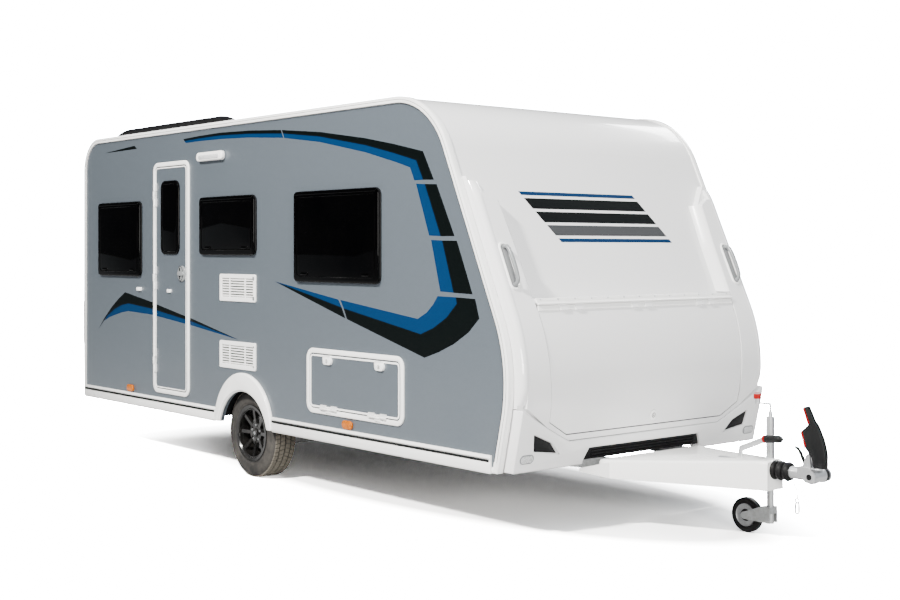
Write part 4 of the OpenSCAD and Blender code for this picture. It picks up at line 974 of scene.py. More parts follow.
class CARAVAN_OT_trim_openings(bpy.types.Operator):
    """Add the inner frames, hinge rails, vents, latches and catches of the openings"""

    bl_idname = "caravan.trim_openings"
    bl_label = "Trim openings"

    def execute(self, context):
        self.window_rims()
        self.door_trim()
        self.door_handle()
        self.hatch_trim()
        self.vents(context.scene.caravan_trim.vent_slats)
        self.skirt_lines()
        with piece("awning_lens", "lamp_white") as bm:
            base = side_height("awning_lamp", -1, AWNING_X, 2.311)
            pad(bm, on_side(-1, AWNING_X, 2.306, base - 0.001), 0.290, 0.030, 0.014, 0.004, 0.002, 0.001)
        return {"FINISHED"}

    def window_rims(self):
        """Moulded step, hinge rail and two catches on each pane."""
        with piece("window_rims", "tinted_glass") as bm:
            for x, w, h, sides in WINDOWS:
                z = WINDOW_TOP - h / 2
                for side in sides:
                    base = side_height("window_panes", side, x, z)
                    border(bm, on_side(side, x, z, base), w - 0.072, h - 0.072, 0.03, 0.007, 0.0022, 0.0009, 0.001)
                    pad(bm, on_side(side, x, WINDOW_TOP - 0.020, base), w - 0.05, 0.014, 0.006, 0.004, 0.002, 0.001)
                    for end in (-1, 1):
                        catch = on_side(side, x + end * (w / 2 - 0.13), z - h / 2 + 0.055, base)
                        pad(bm, catch, 0.075, 0.018, 0.008, 0.006, 0.003, 0.001)
        with piece("door_window_rim", "tinted_glass", "entry_door") as bm:
            base = side_height("door_window", -1, DOOR_X, DOOR_WINDOW_Z)
            place = on_side(-1, DOOR_X, DOOR_WINDOW_Z, base)
            border(bm, place, 0.287 - 0.044, 0.570 - 0.044, 0.03, 0.006, 0.002, 0.0008, 0.001)

    def door_trim(self):
        leaf = side_height("door_leaf", -1, -0.86, 1.0)
        place = on_side(-1, DOOR_X, DOOR_Z, leaf)
        with piece("door_edge_trim", "white_plastic", "entry_door") as bm:
            border(bm, place, 0.492, 1.717, 0.032, 0.009, 0.0035, 0.0012, 0.001)
            pad(bm, on_side(-1, -1.086, 1.304, leaf), 0.050, 0.026, 0.008, 0.016, 0.004, 0.001)
        with piece("door_joint", "stripe_grey", "entry_door") as bm:
            border(bm, place, 0.4985, 1.7235, 0.035, 0.0042, 0.0008, 0.0003, 0.002)

    def door_handle(self):
        """D-shaped ring, slot and keyhole of the handle, and the catch that holds the open door."""
        hand = side_height("door_handle", -1, -0.885, 1.475)
        place = on_side(-1, -0.905, HANDLE_Z, hand)
        turns = [math.radians(-90 + 180 * k / 16) for k in range(17)]
        # Half height of the ring, height over the handle
        section = [(0.059, -0.001), (0.059, 0.002), (0.058, 0.003), (0.0555, 0.003), (0.0545, 0.002),
                   (0.0545, -0.001)]
        rings = []
        for size, out in section:
            curve = [(size * math.cos(a) * 0.82, size * math.sin(a)) for a in turns]
            foot = -0.012 + (0.059 - size)
            rings.append([place(x, z, out) for x, z in [(foot, -size), *curve, (foot, size)]])
        with piece("door_handle_ring", "stripe_grey", "entry_door") as bm:
            loft(bm, rings, True)
        with piece("door_handle_slot", "black_plastic", "entry_door") as bm:
            pad(bm, on_side(-1, -0.906, HANDLE_Z, hand), 0.008, 0.084, 0.003, 0.0016, 0.0008, 0.001)
            pad(bm, on_side(-1, -0.878, HANDLE_Z, hand), 0.012, 0.012, 0.0055, 0.002, 0.0008, 0.001)
        with piece("door_catch", "white_plastic") as bm:
            pad(bm, on_side(-1, -1.597, 1.307), 0.062, 0.030, 0.010, 0.020, 0.005, 0.001)
            pad(bm, on_side(-1, -1.597, 1.307, 0.019), 0.022, 0.016, 0.006, 0.006, 0.002, 0.001)

    def hatch_trim(self):
        for leaf, body, side, x, z, w, h, latches, latch_z in HATCHES:
            base = side_height(leaf, side, x, z)
            bm, keys = bmesh.new(), bmesh.new()
            border(bm, on_side(side, x, z, base), w - 0.006, h - 0.006, 0.031, 0.012, 0.0035, 0.0012, 0.001)
            for spot in latches:
                top = max(side_height(leaf, side, spot, latch_z), base)
                face = on_side(side, spot, latch_z, top + 0.005)
                pad(bm, on_side(side, spot, latch_z, top), 0.090, 0.048, 0.0235, 0.005, 0.003, top - base + 0.001)
                pad(keys, face, 0.006, 0.017, 0.0025, 0.0008, 0.0003, 0.001)
                border(keys, face, 0.026, 0.026, 0.0125, 0.002, 0.0006, 0.0002, 0.001)
            new_piece(leaf + "_edge_trim", bm, "white_plastic", body)
            new_piece(leaf + "_keyholes", keys, "black_plastic", body)

    def vents(self, count):
        frames, hole_shade, marks = bmesh.new(), bmesh.new(), bmesh.new()
        wide, tall = VENT_W - 2 * VENT_RIM, VENT_H - 2 * VENT_RIM
        pitch = tall / count
        rim = [(0.0, -0.001), (0.0, 0.0075), (0.0025, 0.010), (0.028, 0.010), (VENT_RIM, 0.006), (VENT_RIM, -0.001)]
        # Section of a slat: share of the pitch, height over the skin
        slat = [(-0.30, 0.0052), (0.16, 0.0062), (0.30, 0.0086), (-0.26, 0.0080)]
        for z in VENTS:
            place = on_side(-1, VENT_X, z)
            loft(frames, rings_of(place, VENT_W, VENT_H, 0.014, rim), True)
            # Black sheet behind the slats: painted shade of the opening behind the grille
            pad(hole_shade, place, VENT_W - 0.05, VENT_H - 0.05, 0.008, 0.0015, 0.0005, 0.0005)
            part = bmesh.new()
            loft(part, [[Vector((x, -out, up * pitch)) for up, out in slat] for x in (-wide / 2, wide / 2)])
            low = place(0.0, -tall / 2 + pitch / 2, 0.0)
            step = (0.0, 0.0, pitch)
            frames.from_mesh(repeated("row", part, "white_plastic", low, count=count, step=step, phase=0.0))
            for bar in (-0.105, 0.105):
                pad(frames, on_side(-1, VENT_X + bar, z), 0.010, VENT_H - 0.06, 0.002, 0.0088, 0.001)
        for up in (-0.07, 0.07):
            pad(marks, on_side(-1, 0.140, VENTS[1] + up, 0.010), 0.020, 0.026, 0.004, 0.004, 0.0015, 0.001)
            pad(marks, on_side(-1, 0.140, VENTS[0] + up, 0.010), 0.014, 0.014, 0.006, 0.002, 0.001, 0.001)
        new_piece("vent_grilles", frames, "white_plastic", "caravan", 35.0, ("fridge_vents",))
        new_piece("vent_hole_shade", hole_shade, "black_plastic")
        new_piece("vent_catches", marks, "satin_grey")

    def skirt_lines(self):
        """Dark strip along the skirts, ahead of and behind the wheel arches."""
        section = [(0.4335, 0.017), (0.4335, 0.0228), (0.4350, 0.0238), (0.4450, 0.0238), (0.4465, 0.0228),
                   (0.4465, 0.017)]
        with piece("skirt_lines", "black_plastic") as bm:
            for side in (-1, 1):
                place = on_side(side, 0.0, 0.0)
                for ends in ((-2.568, -0.392), (0.392, 2.643)):
                    loft(bm, [[place(x, z, out) for z, out in section] for x in ends])


class CARAVAN_OT_dress_nose(bpy.types.Operator):
    """Add the lid hinge, lock, reflectors and handle cups of the nose"""

    bl_idname = "caravan.dress_nose"
    bl_label = "Dress nose"

    HINGE_HALF = 0.862
    # Sections of the hinge's leaf on the nose and of its foot on the lid: height, out from the skin
    HINGE_LEAF = [(1.2835, 0.0690), (1.2835, 0.0775), (1.2850, 0.0790), (1.2960, 0.0790), (1.2970, 0.0778),
                  (1.2990, 0.0778), (1.3000, 0.0790), (1.3120, 0.0790), (1.3140, 0.0770), (1.3140, 0.0690)]
    HINGE_FOOT = [(1.2470, 0.0670), (1.2470, 0.0735), (1.2485, 0.0750), (1.2740, 0.0750), (1.2755, 0.0735),
                  (1.2755, 0.0670)]
    # Middle of the lid's lock, across and up, and how far the lid and the lock stand out
    LOCK_Y, LOCK_Z, LID_OUT, LOCK_OUT = 0.037, 0.640, 0.068, 0.076

    def execute(self, context):
        self.lid_hinge()
        self.lid_gap_shade()
        self.lock()
        self.reflectors()
        self.handles()
        self.rolls()
        return {"FINISHED"}

    def lid_hinge(self):
        place, ends = on_nose(), (-self.HINGE_HALF, self.HINGE_HALF)
        with piece("lid_hinge_leaf", "rail") as bm:
            loft(bm, [[place(y, z, out) for z, out in self.HINGE_LEAF] for y in ends])
            axis = place(0.0, 1.280, 0.082)
            tube(bm, [axis + Vector((0, y, 0)) for y in (ends[0], -0.3, 0.3, ends[1])], 0.0066, 16)
        with piece("lid_hinge_foot", "rail", "gas_lid_body") as bm:
            loft(bm, [[place(y, z, out) for z, out in self.HINGE_FOOT] for y in ends])
        with piece("lid_hinge_screws", "coupling_steel") as bm:
            screw = bmesh.new()
            lathe(screw, [(-0.001, 0.0055), (0.0012, 0.0055), (0.002, 0.004)], (0, 0, 0),
                  (FRONT_WAY[0], 0, FRONT_WAY[1]), 12)
            count, reach = 13, 0.83
            step = (0.0, 2 * reach / (count - 1), 0.0)
            first = place(-reach, 1.306, 0.079)
            bm.from_mesh(repeated("row", screw, "coupling_steel", first, count=count, step=step, phase=0.0))

    def lid_gap_shade(self):
        """Dark strip in the gap round the lid's sides and foot: painted shade in the gap."""
        half = [(0.0, 0.569), (0.3, 0.569), (0.685, 0.569), (0.76, 0.6095), (0.834, 0.650)]
        half += [(0.834 + 0.032 * t / 10, 0.650 + 0.590 * t / 10) for t in range(1, 11)]
        line = [(-y, z) for y, z in half[:0:-1]] + half
        section = [(0.0008, 0.036), (0.0052, 0.036), (0.0052, 0.058), (0.0008, 0.058)]
        rings = []
        for i, (y, z) in enumerate(line):
            (y0, z0), (y1, z1) = line[max(i - 1, 0)], line[min(i + 1, len(line) - 1)]
            size = math.hypot(y1 - y0, z1 - z0)
            ny, nz = (z1 - z0) / size, -(y1 - y0) / size
            rings.append([on_front(y + ny * d, z + nz * d, out) for d, out in section])
        with piece("lid_gap_shade", "dark_line_and_gap_shade") as bm:
            loft(bm, rings)

    def lock(self):
        with piece("lid_lock", "white_plastic", "gas_lid_body") as bm:
            place = on_nose(self.LOCK_Y, self.LOCK_Z, self.LID_OUT)
            pad(bm, place, 0.058, 0.062, 0.027, 0.008, 0.004, 0.002)
        with piece("lid_lock_key", "black_plastic", "gas_lid_body") as bm:
            place = on_nose(self.LOCK_Y, self.LOCK_Z, self.LOCK_OUT)
            border(bm, place, 0.030, 0.030, 0.0145, 0.003, 0.0015, 0.0005, 0.001)
            pad(bm, place, 0.005, 0.016, 0.002, 0.0012, 0.0004, 0.001)

    def reflectors(self):
        rims, lenses = bmesh.new(), bmesh.new()
        for side in (-1, 1):
            place = on_nose(side * 0.985, 0.470, 0.084)
            border(rims, place, 0.104, 0.052, 0.0255, 0.006, 0.005, 0.002, 0.003)
            pad(lenses, place, 0.094, 0.042, 0.0205, 0.004, 0.002, 0.003)
        new_piece("reflector_rims", rims, "satin_grey")
        new_piece("reflector_lenses", lenses, "lamp_white")

    def handles(self):
        """Bowed grab handles on the nose and the tail, in shallow cups, with a grey pad in each cup that paints the
        shade in its hollow.
        """
        cups, cup_shade, bows = bmesh.new(), bmesh.new(), bmesh.new()
        half = [(0.106, 0.000), (0.106, 0.016), (0.100, 0.030), (0.084, 0.040), (0.055, 0.0455), (0.020, 0.0475)]
        line = half + [(-z, out) for z, out in half[::-1]]
        for side in (-1, 1):
            for place in (on_nose(side * 0.985, 1.500, 0.072), on_tail(side * 1.000, 1.500)):
                border(cups, place, 0.076, 0.272, 0.036, 0.014, 0.008, 0.004, 0.003)
                # Grey pad in the bottom of each cup: painted shade in the cup's hollow
                pad(cup_shade, place, 0.056, 0.252, 0.026, 0.003, 0.001, 0.003)
                tube(bows, [place(0.0, z, out) for z, out in line], 0.0125, 14)
        new_piece("handle_cups", cups, "white_plastic")
        new_piece("handle_cup_shade", cup_shade, "locker_inside")
        new_piece("handle_bows", bows, "satin_grey", "caravan", 40.0, ("grab_handles",))

    def rolls(self):
        """Round outer roll and sloping inner side of the surround."""
        # Sections: across, out from the skin; the inner one is measured from the surround's inner edge
        outer = [(1.0735, 0.032), (1.0735, 0.040), (1.0710, 0.051), (1.0640, 0.0615), (1.0530, 0.0690),
                 (1.0400, 0.0725), (1.0250, 0.0730), (1.0180, 0.0700), (1.0180, 0.032)]
        inner = [(0.006, 0.0715), (0.000, 0.0720), (-0.010, 0.0680), (-0.024, 0.0480), (-0.036, 0.0230),
                 (-0.046, 0.0040), (-0.050, -0.0020), (0.006, -0.0020)]
        edge = [(1.345, 0.886), (1.65, 0.895), (1.92, 0.918)]
        sizes = [0.55, 0.9, *[1.0] * 27, 0.9, 0.55]      # the roll thins out at both ends
        with piece("surround_rolls", "nose_skin", angle=40.0) as bm:
            for side in (-1, 1):
                heights = [0.760 + 1.262 * k / 30 for k in range(31)]
                loft(bm, [[on_front(side * y, z, 0.032 + (out - 0.032) * size) for y, out in outer]
                          for z, size in zip(heights, sizes)])
                heights = [1.350 + 0.565 * k / 16 for k in range(17)]
                loft(bm, [[on_front(side * (line_at(edge, z) + y), z, out) for y, out in inner] for z in heights])


class CARAVAN_OT_fit_tyres(bpy.types.Operator):
    """Fit tyres with grooves and tread blocks, wheel bolts and hub caps"""

    bl_idname = "caravan.fit_tyres"
    bl_label = "Fit tyres"

    # Half section of the carcass from the bead to the middle: across, radius
    CARCASS = [(-0.070, 0.179), (-0.080, 0.187), (-0.0885, 0.200), (-0.0950, 0.222), (-0.0962, 0.224),
               (-0.0966, 0.228), (-0.0958, 0.230), (-0.0972, 0.250), (-0.0960, 0.268), (-0.0915, 0.286),
               (-0.0850, 0.2975), (-0.078, 0.3025), (-0.0475, 0.3045), (-0.0465, 0.2985), (-0.0405, 0.2985),
               (-0.0395, 0.3048), (-0.0045, 0.3052), (-0.0035, 0.2985)]
    # Rows of tread blocks: across, width, shift in blocks, lean round the tyre
    ROWS = [(-0.0635, 0.031, 0.0, 0.006), (-0.022, 0.033, 0.5, 0.006), (0.022, 0.033, 0.0, -0.006),
            (0.0635, 0.031, 0.5, -0.006)]
    # Turned pieces of a wheel: out along the axle, radius
    FLANGE = [(0.072, 0.172), (0.088, 0.174), (0.0945, 0.180), (0.0958, 0.190), (0.0975, 0.2005), (0.0960, 0.2035),
              (0.0920, 0.2040), (0.0860, 0.2000), (0.0700, 0.184)]
    BOLT = [(-0.004, 0.0135), (0.002, 0.0135), (0.003, 0.0105), (0.014, 0.0100), (0.017, 0.0080)]
    CAP = [(-0.004, 0.029), (0.002, 0.029), (0.004, 0.0275), (0.0045, 0.020), (0.003, 0.018), (0.0035, 0.004)]
    DISC = [(0.0025, 0.0125), (0.0048, 0.0125), (0.0056, 0.0110), (0.0050, 0.0030)]
    JOCKEY_RIM = [(0.0130, 0.0345), (0.0180, 0.0345), (0.0175, 0.050), (0.0185, 0.062), (0.0215, 0.0655),
                  (0.0130, 0.0655)]
    BOLTS, BOLT_RADIUS = 5, 0.054

    def execute(self, context):
        count = context.scene.caravan_trim.tread_blocks
        for side, word in WALLS:
            self.tyre(count, word)
            self.hub(side, word)
        with piece("jockey_rim", "cast", "jockey_wheel_body") as bm:
            for side in (-1, 1):
                lathe(bm, self.JOCKEY_RIM, middle_of("jockey_wheel"), (0, side, 0), 48, True)
        return {"FINISHED"}

    def tyre(self, count, word):
        centre = middle_of("tyre_" + word)
        half = math.pi * 0.312 / count * 0.76
        with piece("tyre_tread_" + word, "tyre", "wheel_" + word, 32.0, ("tyre_" + word,)) as bm:
            lathe(bm, self.CARCASS + [(-s, r) for s, r in self.CARCASS[::-1]], centre, (0, 1, 0), 120, True)
            for s, wide, phase, lean in self.ROWS:
                near, far = s - wide / 2, s + wide / 2
                base = [(-half, near), (half, near), (half + lean, far), (-half + lean, far)]
                top = [(0.93 * t + 0.035 * lean, s + 0.93 * (y - s)) for t, y in base]
                block = bmesh.new()
                loft(block, [[Vector((r, y, t)) for t, y in ring]
                             for r, ring in ((0.3015, base), (0.3105, base), (0.3117, top))])
                bm.from_mesh(repeated("ring", block, "tyre", centre, count=count, radius=0.0, phase=phase))

    def hub(self, side, word):
        rim, body, out = "rim_" + word, "wheel_" + word, (0, side, 0)
        axle = Vector((AXLE_X, 0.0, AXLE_Z))
        face = touch(rim, axle + Vector((self.BOLT_RADIUS, side * 2.0, 0.0)), (0, -side, 0)).y
        with piece("rim_flange_" + word, "rim", body) as bm:
            lathe(bm, self.FLANGE, middle_of("tyre_" + word), out, 96, True)
        with piece("wheel_bolts_" + word, "cast", body) as bm:
            bolt = bmesh.new()
            lathe(bolt, self.BOLT, (0, 0, 0), out, 6)
            bm.from_mesh(repeated("ring", bolt, "coupling_steel", axle + Vector((0, face, 0)), count=self.BOLTS,
                                  radius=self.BOLT_RADIUS, phase=0.25))
        centre = axle + Vector((0, touch(rim, axle + Vector((0.003, side * 2.0, 0.002)), (0, -side, 0)).y, 0))
        with piece("hub_cap_" + word, "rim", body) as bm:
            lathe(bm, self.CAP, centre, out, 32)
        with piece("hub_disc_" + word, "coupling_steel", body) as bm:
            lathe(bm, self.DISC, centre, out, 24)


class CARAVAN_OT_detail_hitch(bpy.types.Operator):
    """Add the grips, knob, brake grip, cover and friction pads of the hitch"""

    bl_idname = "caravan.detail_hitch"
    bl_label = "Detail hitch"

    # Middle of the ball and of the friction pads ahead of the axle, their height, middle of the brake lever across
    BALL_X, PAD_X, HITCH_Z, LEVER_Y = 4.006, 4.020, 0.412, 0.059
    # Red insets of the coupling handle, in mm from the ball
    INSETS = [[(-82, 227), (-69, 236), (-43, 153), (-56, 141)], [(-69, 356), (-56, 364), (-22, 279), (-35, 269)]]
    KNOB = [(0.0, 0.016), (0.002, 0.0205), (0.012, 0.0226), (0.030, 0.0226), (0.0365, 0.0195), (0.0395, 0.012)]
    # Brake grip and its button: ahead of the axle, height, radius
    GRIP = [(3.641, 0.5625, 0.018), (3.645, 0.563, 0.0215), (3.690, 0.5680, 0.0205), (3.730, 0.5710, 0.0215),
            (3.742, 0.5720, 0.019), (3.748, 0.5723, 0.013)]
    BUTTON = [(3.746, 0.5722, 0.009), (3.752, 0.5726, 0.009), (3.757, 0.573, 0.007)]
    COLLAR = [(3.628, 0.5605, 0.0225), (3.640, 0.5625, 0.0225)]
    # Turned friction pad and its cap: out to the side, radius
    PAD = [(0.030, 0.040), (0.058, 0.0405), (0.068, 0.037), (0.0745, 0.029), (0.0755, 0.018)]
    CAP = [(-0.002, 0.016), (0.003, 0.016), (0.004, 0.0145), (0.004, 0.009), (0.0015, 0.0075), (0.0015, 0.0005)]
    # Stations of the cover: ahead of the axle, half width, height of the top
    COVER = [(2.850, 0.4540, 0.4060), (2.905, 0.430, 0.4075), (3.20, 0.3020, 0.4250), (3.50, 0.1718, 0.4470),
             (3.70, 0.0850, 0.4620), (3.735, 0.0760, 0.4645), (3.748, 0.0700, 0.4580)]
    COVER_FOOT = 0.300

    def execute(self, context):
        with piece("hitch_red_grips", "red_plastic") as bm:
            for inset in self.INSETS:
                outline = [(self.BALL_X + x / 1000, self.HITCH_Z + z / 1000) for x, z in inset]
                slab(bm, outline, -0.0192, 0.0192)
            bmesh.ops.bevel(bm, geom=bm.edges[:], offset=0.0015, segments=2, affect="EDGES", clamp_overlap=True)
            lathe(bm, self.KNOB, (AXLE_X + 3.514, 0.150, 0.7675), (0, 0, 1), 24)
            self.bar(bm, self.COLLAR, 20)
        with piece("brake_grip", "black_plastic") as bm:
            self.bar(bm, self.GRIP, 20)
            self.bar(bm, self.BUTTON, 16)
        self.cover()
        for side, word, pad_finish, cap_finish in ((-1, "right", "coupling_steel", "black_plastic"),
                                                   (1, "left", "black_plastic", "coupling_steel")):
            with piece("friction_pad_" + word, pad_finish) as bm:
                lathe(bm, self.PAD, (AXLE_X + self.PAD_X, 0.0, self.HITCH_Z), (0, side, 0), 40)
            with piece("friction_cap_" + word, cap_finish) as bm:
                lathe(bm, self.CAP, (AXLE_X + self.PAD_X, side * 0.0740, self.HITCH_Z), (0, side, 0), 28)
        return {"FINISHED"}

    def bar(self, bm, line, sides):
        """Round bar in the plane of the brake lever."""
        path = [Vector((AXLE_X + x, self.LEVER_Y, z)) for x, z, _ in line]
        tube(bm, path, [radius for _, _, radius in line], sides)

    def cover(self):
        """Moulded drawbar cover: a thin hood that narrows and rises to the coupling, with two folded wings."""
        foot = self.COVER_FOOT
        rings = []
        for x, w, top in self.COVER:
            outer = [(-w, foot), (-w, top - 0.020), (-w + 0.003, top - 0.009), (-w + 0.010, top - 0.003),
                     (-w + 0.022, top)]
            outer += [(-y, z) for y, z in outer[::-1]]
            inner = [(y * (w - 0.005) / w, z - 0.004 if z > 0.31 else z) for y, z in outer]
            rings.append([Vector((AXLE_X + x, y, z)) for y, z in outer + inner[::-1]])
        # Corners of a wing at its fold and at its tip
        fold = [(2.906, 0.4300, foot), (2.906, 0.4300, 0.392), (2.900, 0.4270, 0.392), (2.900, 0.4270, foot)]
        tip = [(2.832, 0.6000, 0.348), (2.832, 0.6000, 0.368), (2.828, 0.5970, 0.368), (2.828, 0.5970, 0.348)]
        with piece("drawbar_hood", "rail", "caravan", 30.0, ("drawbar_cover",)) as bm:
            loft(bm, rings)
            x, w, top = self.COVER[-1]
            front = [(x - 0.006, foot), (x, foot), (x, top - 0.006), (x - 0.006, top - 0.003)]
            slab(bm, front, -w + 0.004, w - 0.004)
            for side in (-1, 1):
                loft(bm, [[Vector((AXLE_X + x, side * y, z)) for x, y, z in ring] for ring in (fold, tip)])


class CARAVAN_OT_dress_tail(bpy.types.Operator):
    """Add the blank plate, lamp bands, roof rails, rail lines and high lamp"""

    bl_idname = "caravan.dress_tail"
    bl_label = "Dress tail"

    PLATE_Z = 0.520
    LAMP_Y = 1.0475
    # Roof rails: across, then the bar's stations ahead of the axle, middle height, half height
    RAIL_Y = 0.935
    RAIL = [(-2.395, 2.5530, 0.010), (-2.350, 2.5680, 0.016), (-2.290, 2.5880, 0.021), (-2.220, 2.6010, 0.024),
            (-2.140, 2.6075, 0.0255), (-1.40, 2.6090, 0.0255), (-0.62, 2.6075, 0.0255), (-0.54, 2.6010, 0.024),
            (-0.47, 2.5880, 0.021), (-0.41, 2.5690, 0.016), (-0.365, 2.5530, 0.010)]
    # Lower bar: ahead of the axle, radius
    LOW_BAR = [(-2.33, 0.006), (-2.29, 0.0105), (-1.4, 0.0105), (-0.47, 0.0105), (-0.43, 0.006)]
    FEET = (-2.16, -1.62, -1.12, -0.62)

    def execute(self, context):
        with piece("blank_plate", "white_plastic") as bm:
            pad(bm, on_tail(0.0, self.PLATE_Z), 0.520, 0.110, 0.008, 0.003, 0.001, 0.001)
        with piece("plate_frame", "black_plastic") as bm:
            border(bm, on_tail(0.0, self.PLATE_Z), 0.536, 0.126, 0.012, 0.012, 0.006, 0.002, 0.001)
        self.lamps()
        self.roof_rails()
        self.rail_lines()
        with piece("high_lamp", "lamp_red") as bm:
            pad(bm, on_tail(0.0, 2.200), 0.36, 0.036, 0.014, 0.018, 0.006, 0.001)
        return {"FINISHED"}

    def lamps(self):
        proud = WALL_LOW[0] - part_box("rear_lamps")[0][0]
        amber, clear, rims = bmesh.new(), bmesh.new(), bmesh.new()
        for side in (-1, 1):
            y = side * self.LAMP_Y
            pad(amber, on_tail(y, 1.115, proud - 0.001), 0.088, 0.076, 0.014, 0.004, 0.002, 0.002)
            pad(clear, on_tail(y, 0.868, proud - 0.001), 0.088, 0.066, 0.014, 0.004, 0.002, 0.002)
            border(rims, on_tail(y, 1.000), 0.135, 0.430, 0.026, 0.016, 0.014, 0.004, 0.001)
        new_piece("tail_lamp_amber", amber, "lamp_amber")
        new_piece("tail_lamp_clear", clear, "lamp_white")
        new_piece("tail_lamp_rims", rims, "black_plastic")

    def roof_rails(self):
        """Full-bodied upper bar, thin lower bar and feet of each rail."""
        turns = [math.radians(22.5 * k) for k in range(16)]
        shape = [(full(math.cos(a)), full(math.sin(a))) for a in turns]
        with piece("roof_rail_bars", "black_plastic", "caravan", 40.0, ("roof_rails",)) as bm:
            for side in (-1, 1):
                y = side * self.RAIL_Y
                loft(bm, [[Vector((AXLE_X + x, y + 0.0165 * c, z + half * t)) for c, t in shape]
                          for x, z, half in self.RAIL])
                low = [Vector((AXLE_X + x, y, 2.5655)) for x, _ in self.LOW_BAR]
                tube(bm, low, [radius for _, radius in self.LOW_BAR], 12)
                for x in self.FEET:
                    foot = [(x - 0.045, 2.548), (x + 0.045, 2.548), (x + 0.034, 2.570), (x + 0.030, 2.600),
                            (x - 0.030, 2.600), (x - 0.034, 2.570)]
                    slab(bm, foot, y - 0.0150, y + 0.0150)

    def rail_lines(self):
        """Thin dark lines in the white edge profile of both sides."""
        with piece("edge_rail_lines", "dark_line_and_gap_shade") as bm:
            for side in (-1, 1):
                place = on_side(side, 0.0, 0.0, 0.008)
                for a, b in ((0.0100, 0.0125), (0.0300, 0.0345)):
                    loft(bm, [[place(*p, -0.001), place(*q, -0.001), place(*q, 0.0005), place(*p, 0.0005)]
                              for p, q in zip(side_outline(a), side_outline(b))])


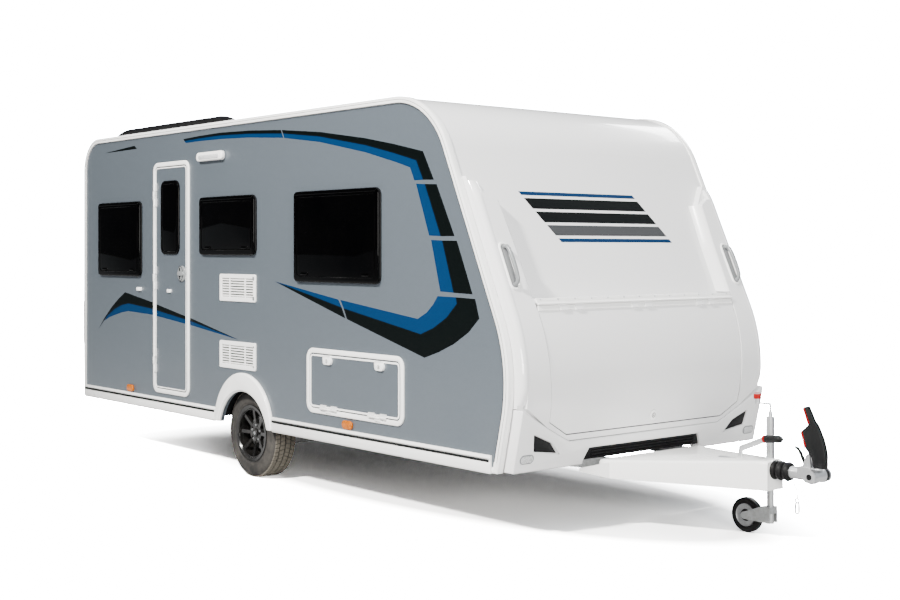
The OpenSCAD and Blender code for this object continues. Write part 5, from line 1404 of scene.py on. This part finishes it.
class CARAVAN_OT_set_stage(bpy.types.Operator):
    """Set the pale floor, the soft light and the camera"""

    bl_idname = "caravan.set_stage"
    bl_label = "Set stage"

    def execute(self, context):
        studio = context.scene.caravan_studio
        self.lay_floor(studio)
        self.hang_lights(context)
        self.place_camera(context, studio)
        return {"FINISHED"}

    def lay_floor(self, studio):
        bm = bmesh.new()
        bmesh.ops.create_grid(bm, x_segments=1, y_segments=1, size=studio.floor_size / 2)
        mesh = bpy.data.meshes.new("studio_floor")
        bm.to_mesh(mesh)
        bm.free()
        floor = bpy.data.objects.new("studio_floor", mesh)
        bpy.context.collection.objects.link(floor)
        # A lit paper floor: brighter to the camera than the light it sends back to the caravan
        paper = bpy.data.materials.new("studio_floor")
        paper.use_nodes = True
        tree = paper.node_tree
        tree.nodes.remove(tree.nodes["Principled BSDF"])
        seen = node(tree, "ShaderNodeLightPath").outputs["Is Camera Ray"]
        # Seen by the camera, the paper is darker within an ellipse round the caravan and bright beyond it: a painted
        # shadow round the caravan, with any shade further out washed to white. The ellipse is shortened along the
        # caravan, so that the paper whitens all round it at a like distance.
        short = vector_node(tree, "MULTIPLY_ADD", object_place(tree), (0.36, 1.0, 1.0), (-0.108, 0.0, 0.0))
        glow = spread(tree, vector_node(tree, "LENGTH", short), 0.9, 1.8, studio.floor_glow, 40.0)
        shade = blend_colour(tree, seen, (0.34, 0.34, 0.34, 1.0), glow)
        matt = node(tree, "ShaderNodeBsdfDiffuse", [("Color", shade)])
        tree.links.new(matt.outputs[0], tree.nodes["Material Output"].inputs["Surface"])
        mesh.materials.append(paper)

    def hang_lights(self, context):
        world = bpy.data.worlds.new("studio_sky")
        world.use_nodes = True
        tree = world.node_tree
        back = tree.nodes["Background"]
        back.inputs["Color"].default_value = (0.90, 0.95, 1.0, 1.0)
        # Bright overhead and ahead, dim on the door side
        coords = node(tree, "ShaderNodeTexCoord").outputs["Generated"]
        lean = vector_node(tree, "DOT_PRODUCT", coords, (0.55, 0.25, 0.80))
        glow = spread(tree, lean, -0.25, 0.7, 0.05, 0.85)
        seen = node(tree, "ShaderNodeLightPath").outputs["Is Camera Ray"]
        # The camera sees a plain white backdrop
        backdrop = math_node(tree, "MULTIPLY", seen, 30.0)
        tree.links.new(math_node(tree, "ADD", glow, backdrop), back.inputs["Strength"])
        context.scene.world = world
        warm, white = (1.0, 0.975, 0.94), (1.0, 1.0, 1.0)
        # Softboxes: name, place, point that it faces, width, height, watts, colour
        boxes = [
            ("key_box", (2.2, -9.4, 8.2), (0.5, 0.0, 1.2), 0.8, 0.8, 3900.0, warm),
            ("top_box", (-0.5, -1.0, 8.5), (-0.5, 0.0, 0.0), 9.0, 5.0, 500.0, white),
            ("fill_box", (11.0, -4.5, 2.4), (2.0, 0.0, 0.8), 4.0, 2.4, 1250.0, warm),
            ("far_box", (-0.5, 9.0, 7.5), (0.0, 1.0, 1.3), 4.0, 3.0, 1000.0, white),
            ("tail_box", (-9.0, 3.0, 5.0), (-2.5, 0.0, 1.2), 5.0, 3.0, 500.0, white),
        ]
        for name, place, target, width, height, watts, colour_of_light in boxes:
            lamp = bpy.data.lights.new(name, "AREA")
            lamp.shape = "RECTANGLE"
            lamp.size = width
            lamp.size_y = height
            lamp.energy = watts
            lamp.color = colour_of_light
            box = bpy.data.objects.new(name, lamp)
            box.location = place
            aim = Vector(target) - Vector(place)
            box.rotation_euler = aim.to_track_quat("-Z", "Y").to_euler()
            context.collection.objects.link(box)

    def place_camera(self, context, studio):
        lens_data = bpy.data.cameras.new("studio_camera")
        lens_data.sensor_fit = "HORIZONTAL"
        lens_data.sensor_width = 36.0
        lens_data.lens = studio.lens
        lens_data.shift_y = studio.rise
        lens_data.clip_end = 500.0
        camera = bpy.data.objects.new("studio_camera", lens_data)
        camera.location = studio.camera_place
        camera.rotation_euler = (math.radians(90.0), 0.0, studio.camera_turn)
        context.collection.objects.link(camera)
        context.scene.camera = camera


class CARAVAN_PT_sidebar(bpy.types.Panel):
    """Lists the caravan's steps and sizes"""

    bl_idname = "CARAVAN_PT_sidebar"
    bl_label = "Caravan"
    bl_space_type = "VIEW_3D"
    bl_region_type = "UI"
    bl_category = "Caravan"

    def draw(self, context):
        scene = context.scene
        for settings in (scene.caravan_paint, scene.caravan_trim, scene.caravan_studio):
            box = self.layout.box()
            for name in settings.bl_rna.properties.keys():
                if name not in {"rna_type", "name"}:
                    box.prop(settings, name)
        for step in STEPS:
            self.layout.operator(step.bl_idname)


SETTINGS = {"caravan_paint": CaravanPaint, "caravan_trim": CaravanTrim, "caravan_studio": CaravanStudio}

# The operators in the order in which they run
STEPS = [
    CARAVAN_OT_set_stage,
    CARAVAN_OT_finish_panels,
    CARAVAN_OT_hang_cable,
    CARAVAN_OT_soften_panels,
    CARAVAN_OT_lay_stripes,
    CARAVAN_OT_trim_openings,
    CARAVAN_OT_dress_nose,
    CARAVAN_OT_fit_tyres,
    CARAVAN_OT_detail_hitch,
    CARAVAN_OT_dress_tail,
]


def register():
    for kind in (*SETTINGS.values(), *STEPS, CARAVAN_PT_sidebar):
        bpy.utils.register_class(kind)
    for name, kind in SETTINGS.items():
        setattr(bpy.types.Scene, name, bpy.props.PointerProperty(type=kind))


def unregister():
    for name in SETTINGS:
        delattr(bpy.types.Scene, name)
    for kind in reversed((*SETTINGS.values(), *STEPS, CARAVAN_PT_sidebar)):
        bpy.utils.unregister_class(kind)


def main():
    register()
    for step in STEPS:
        space, name = step.bl_idname.split(".")
        getattr(getattr(bpy.ops, space), name)()


if __name__ == "__main__":
    main()
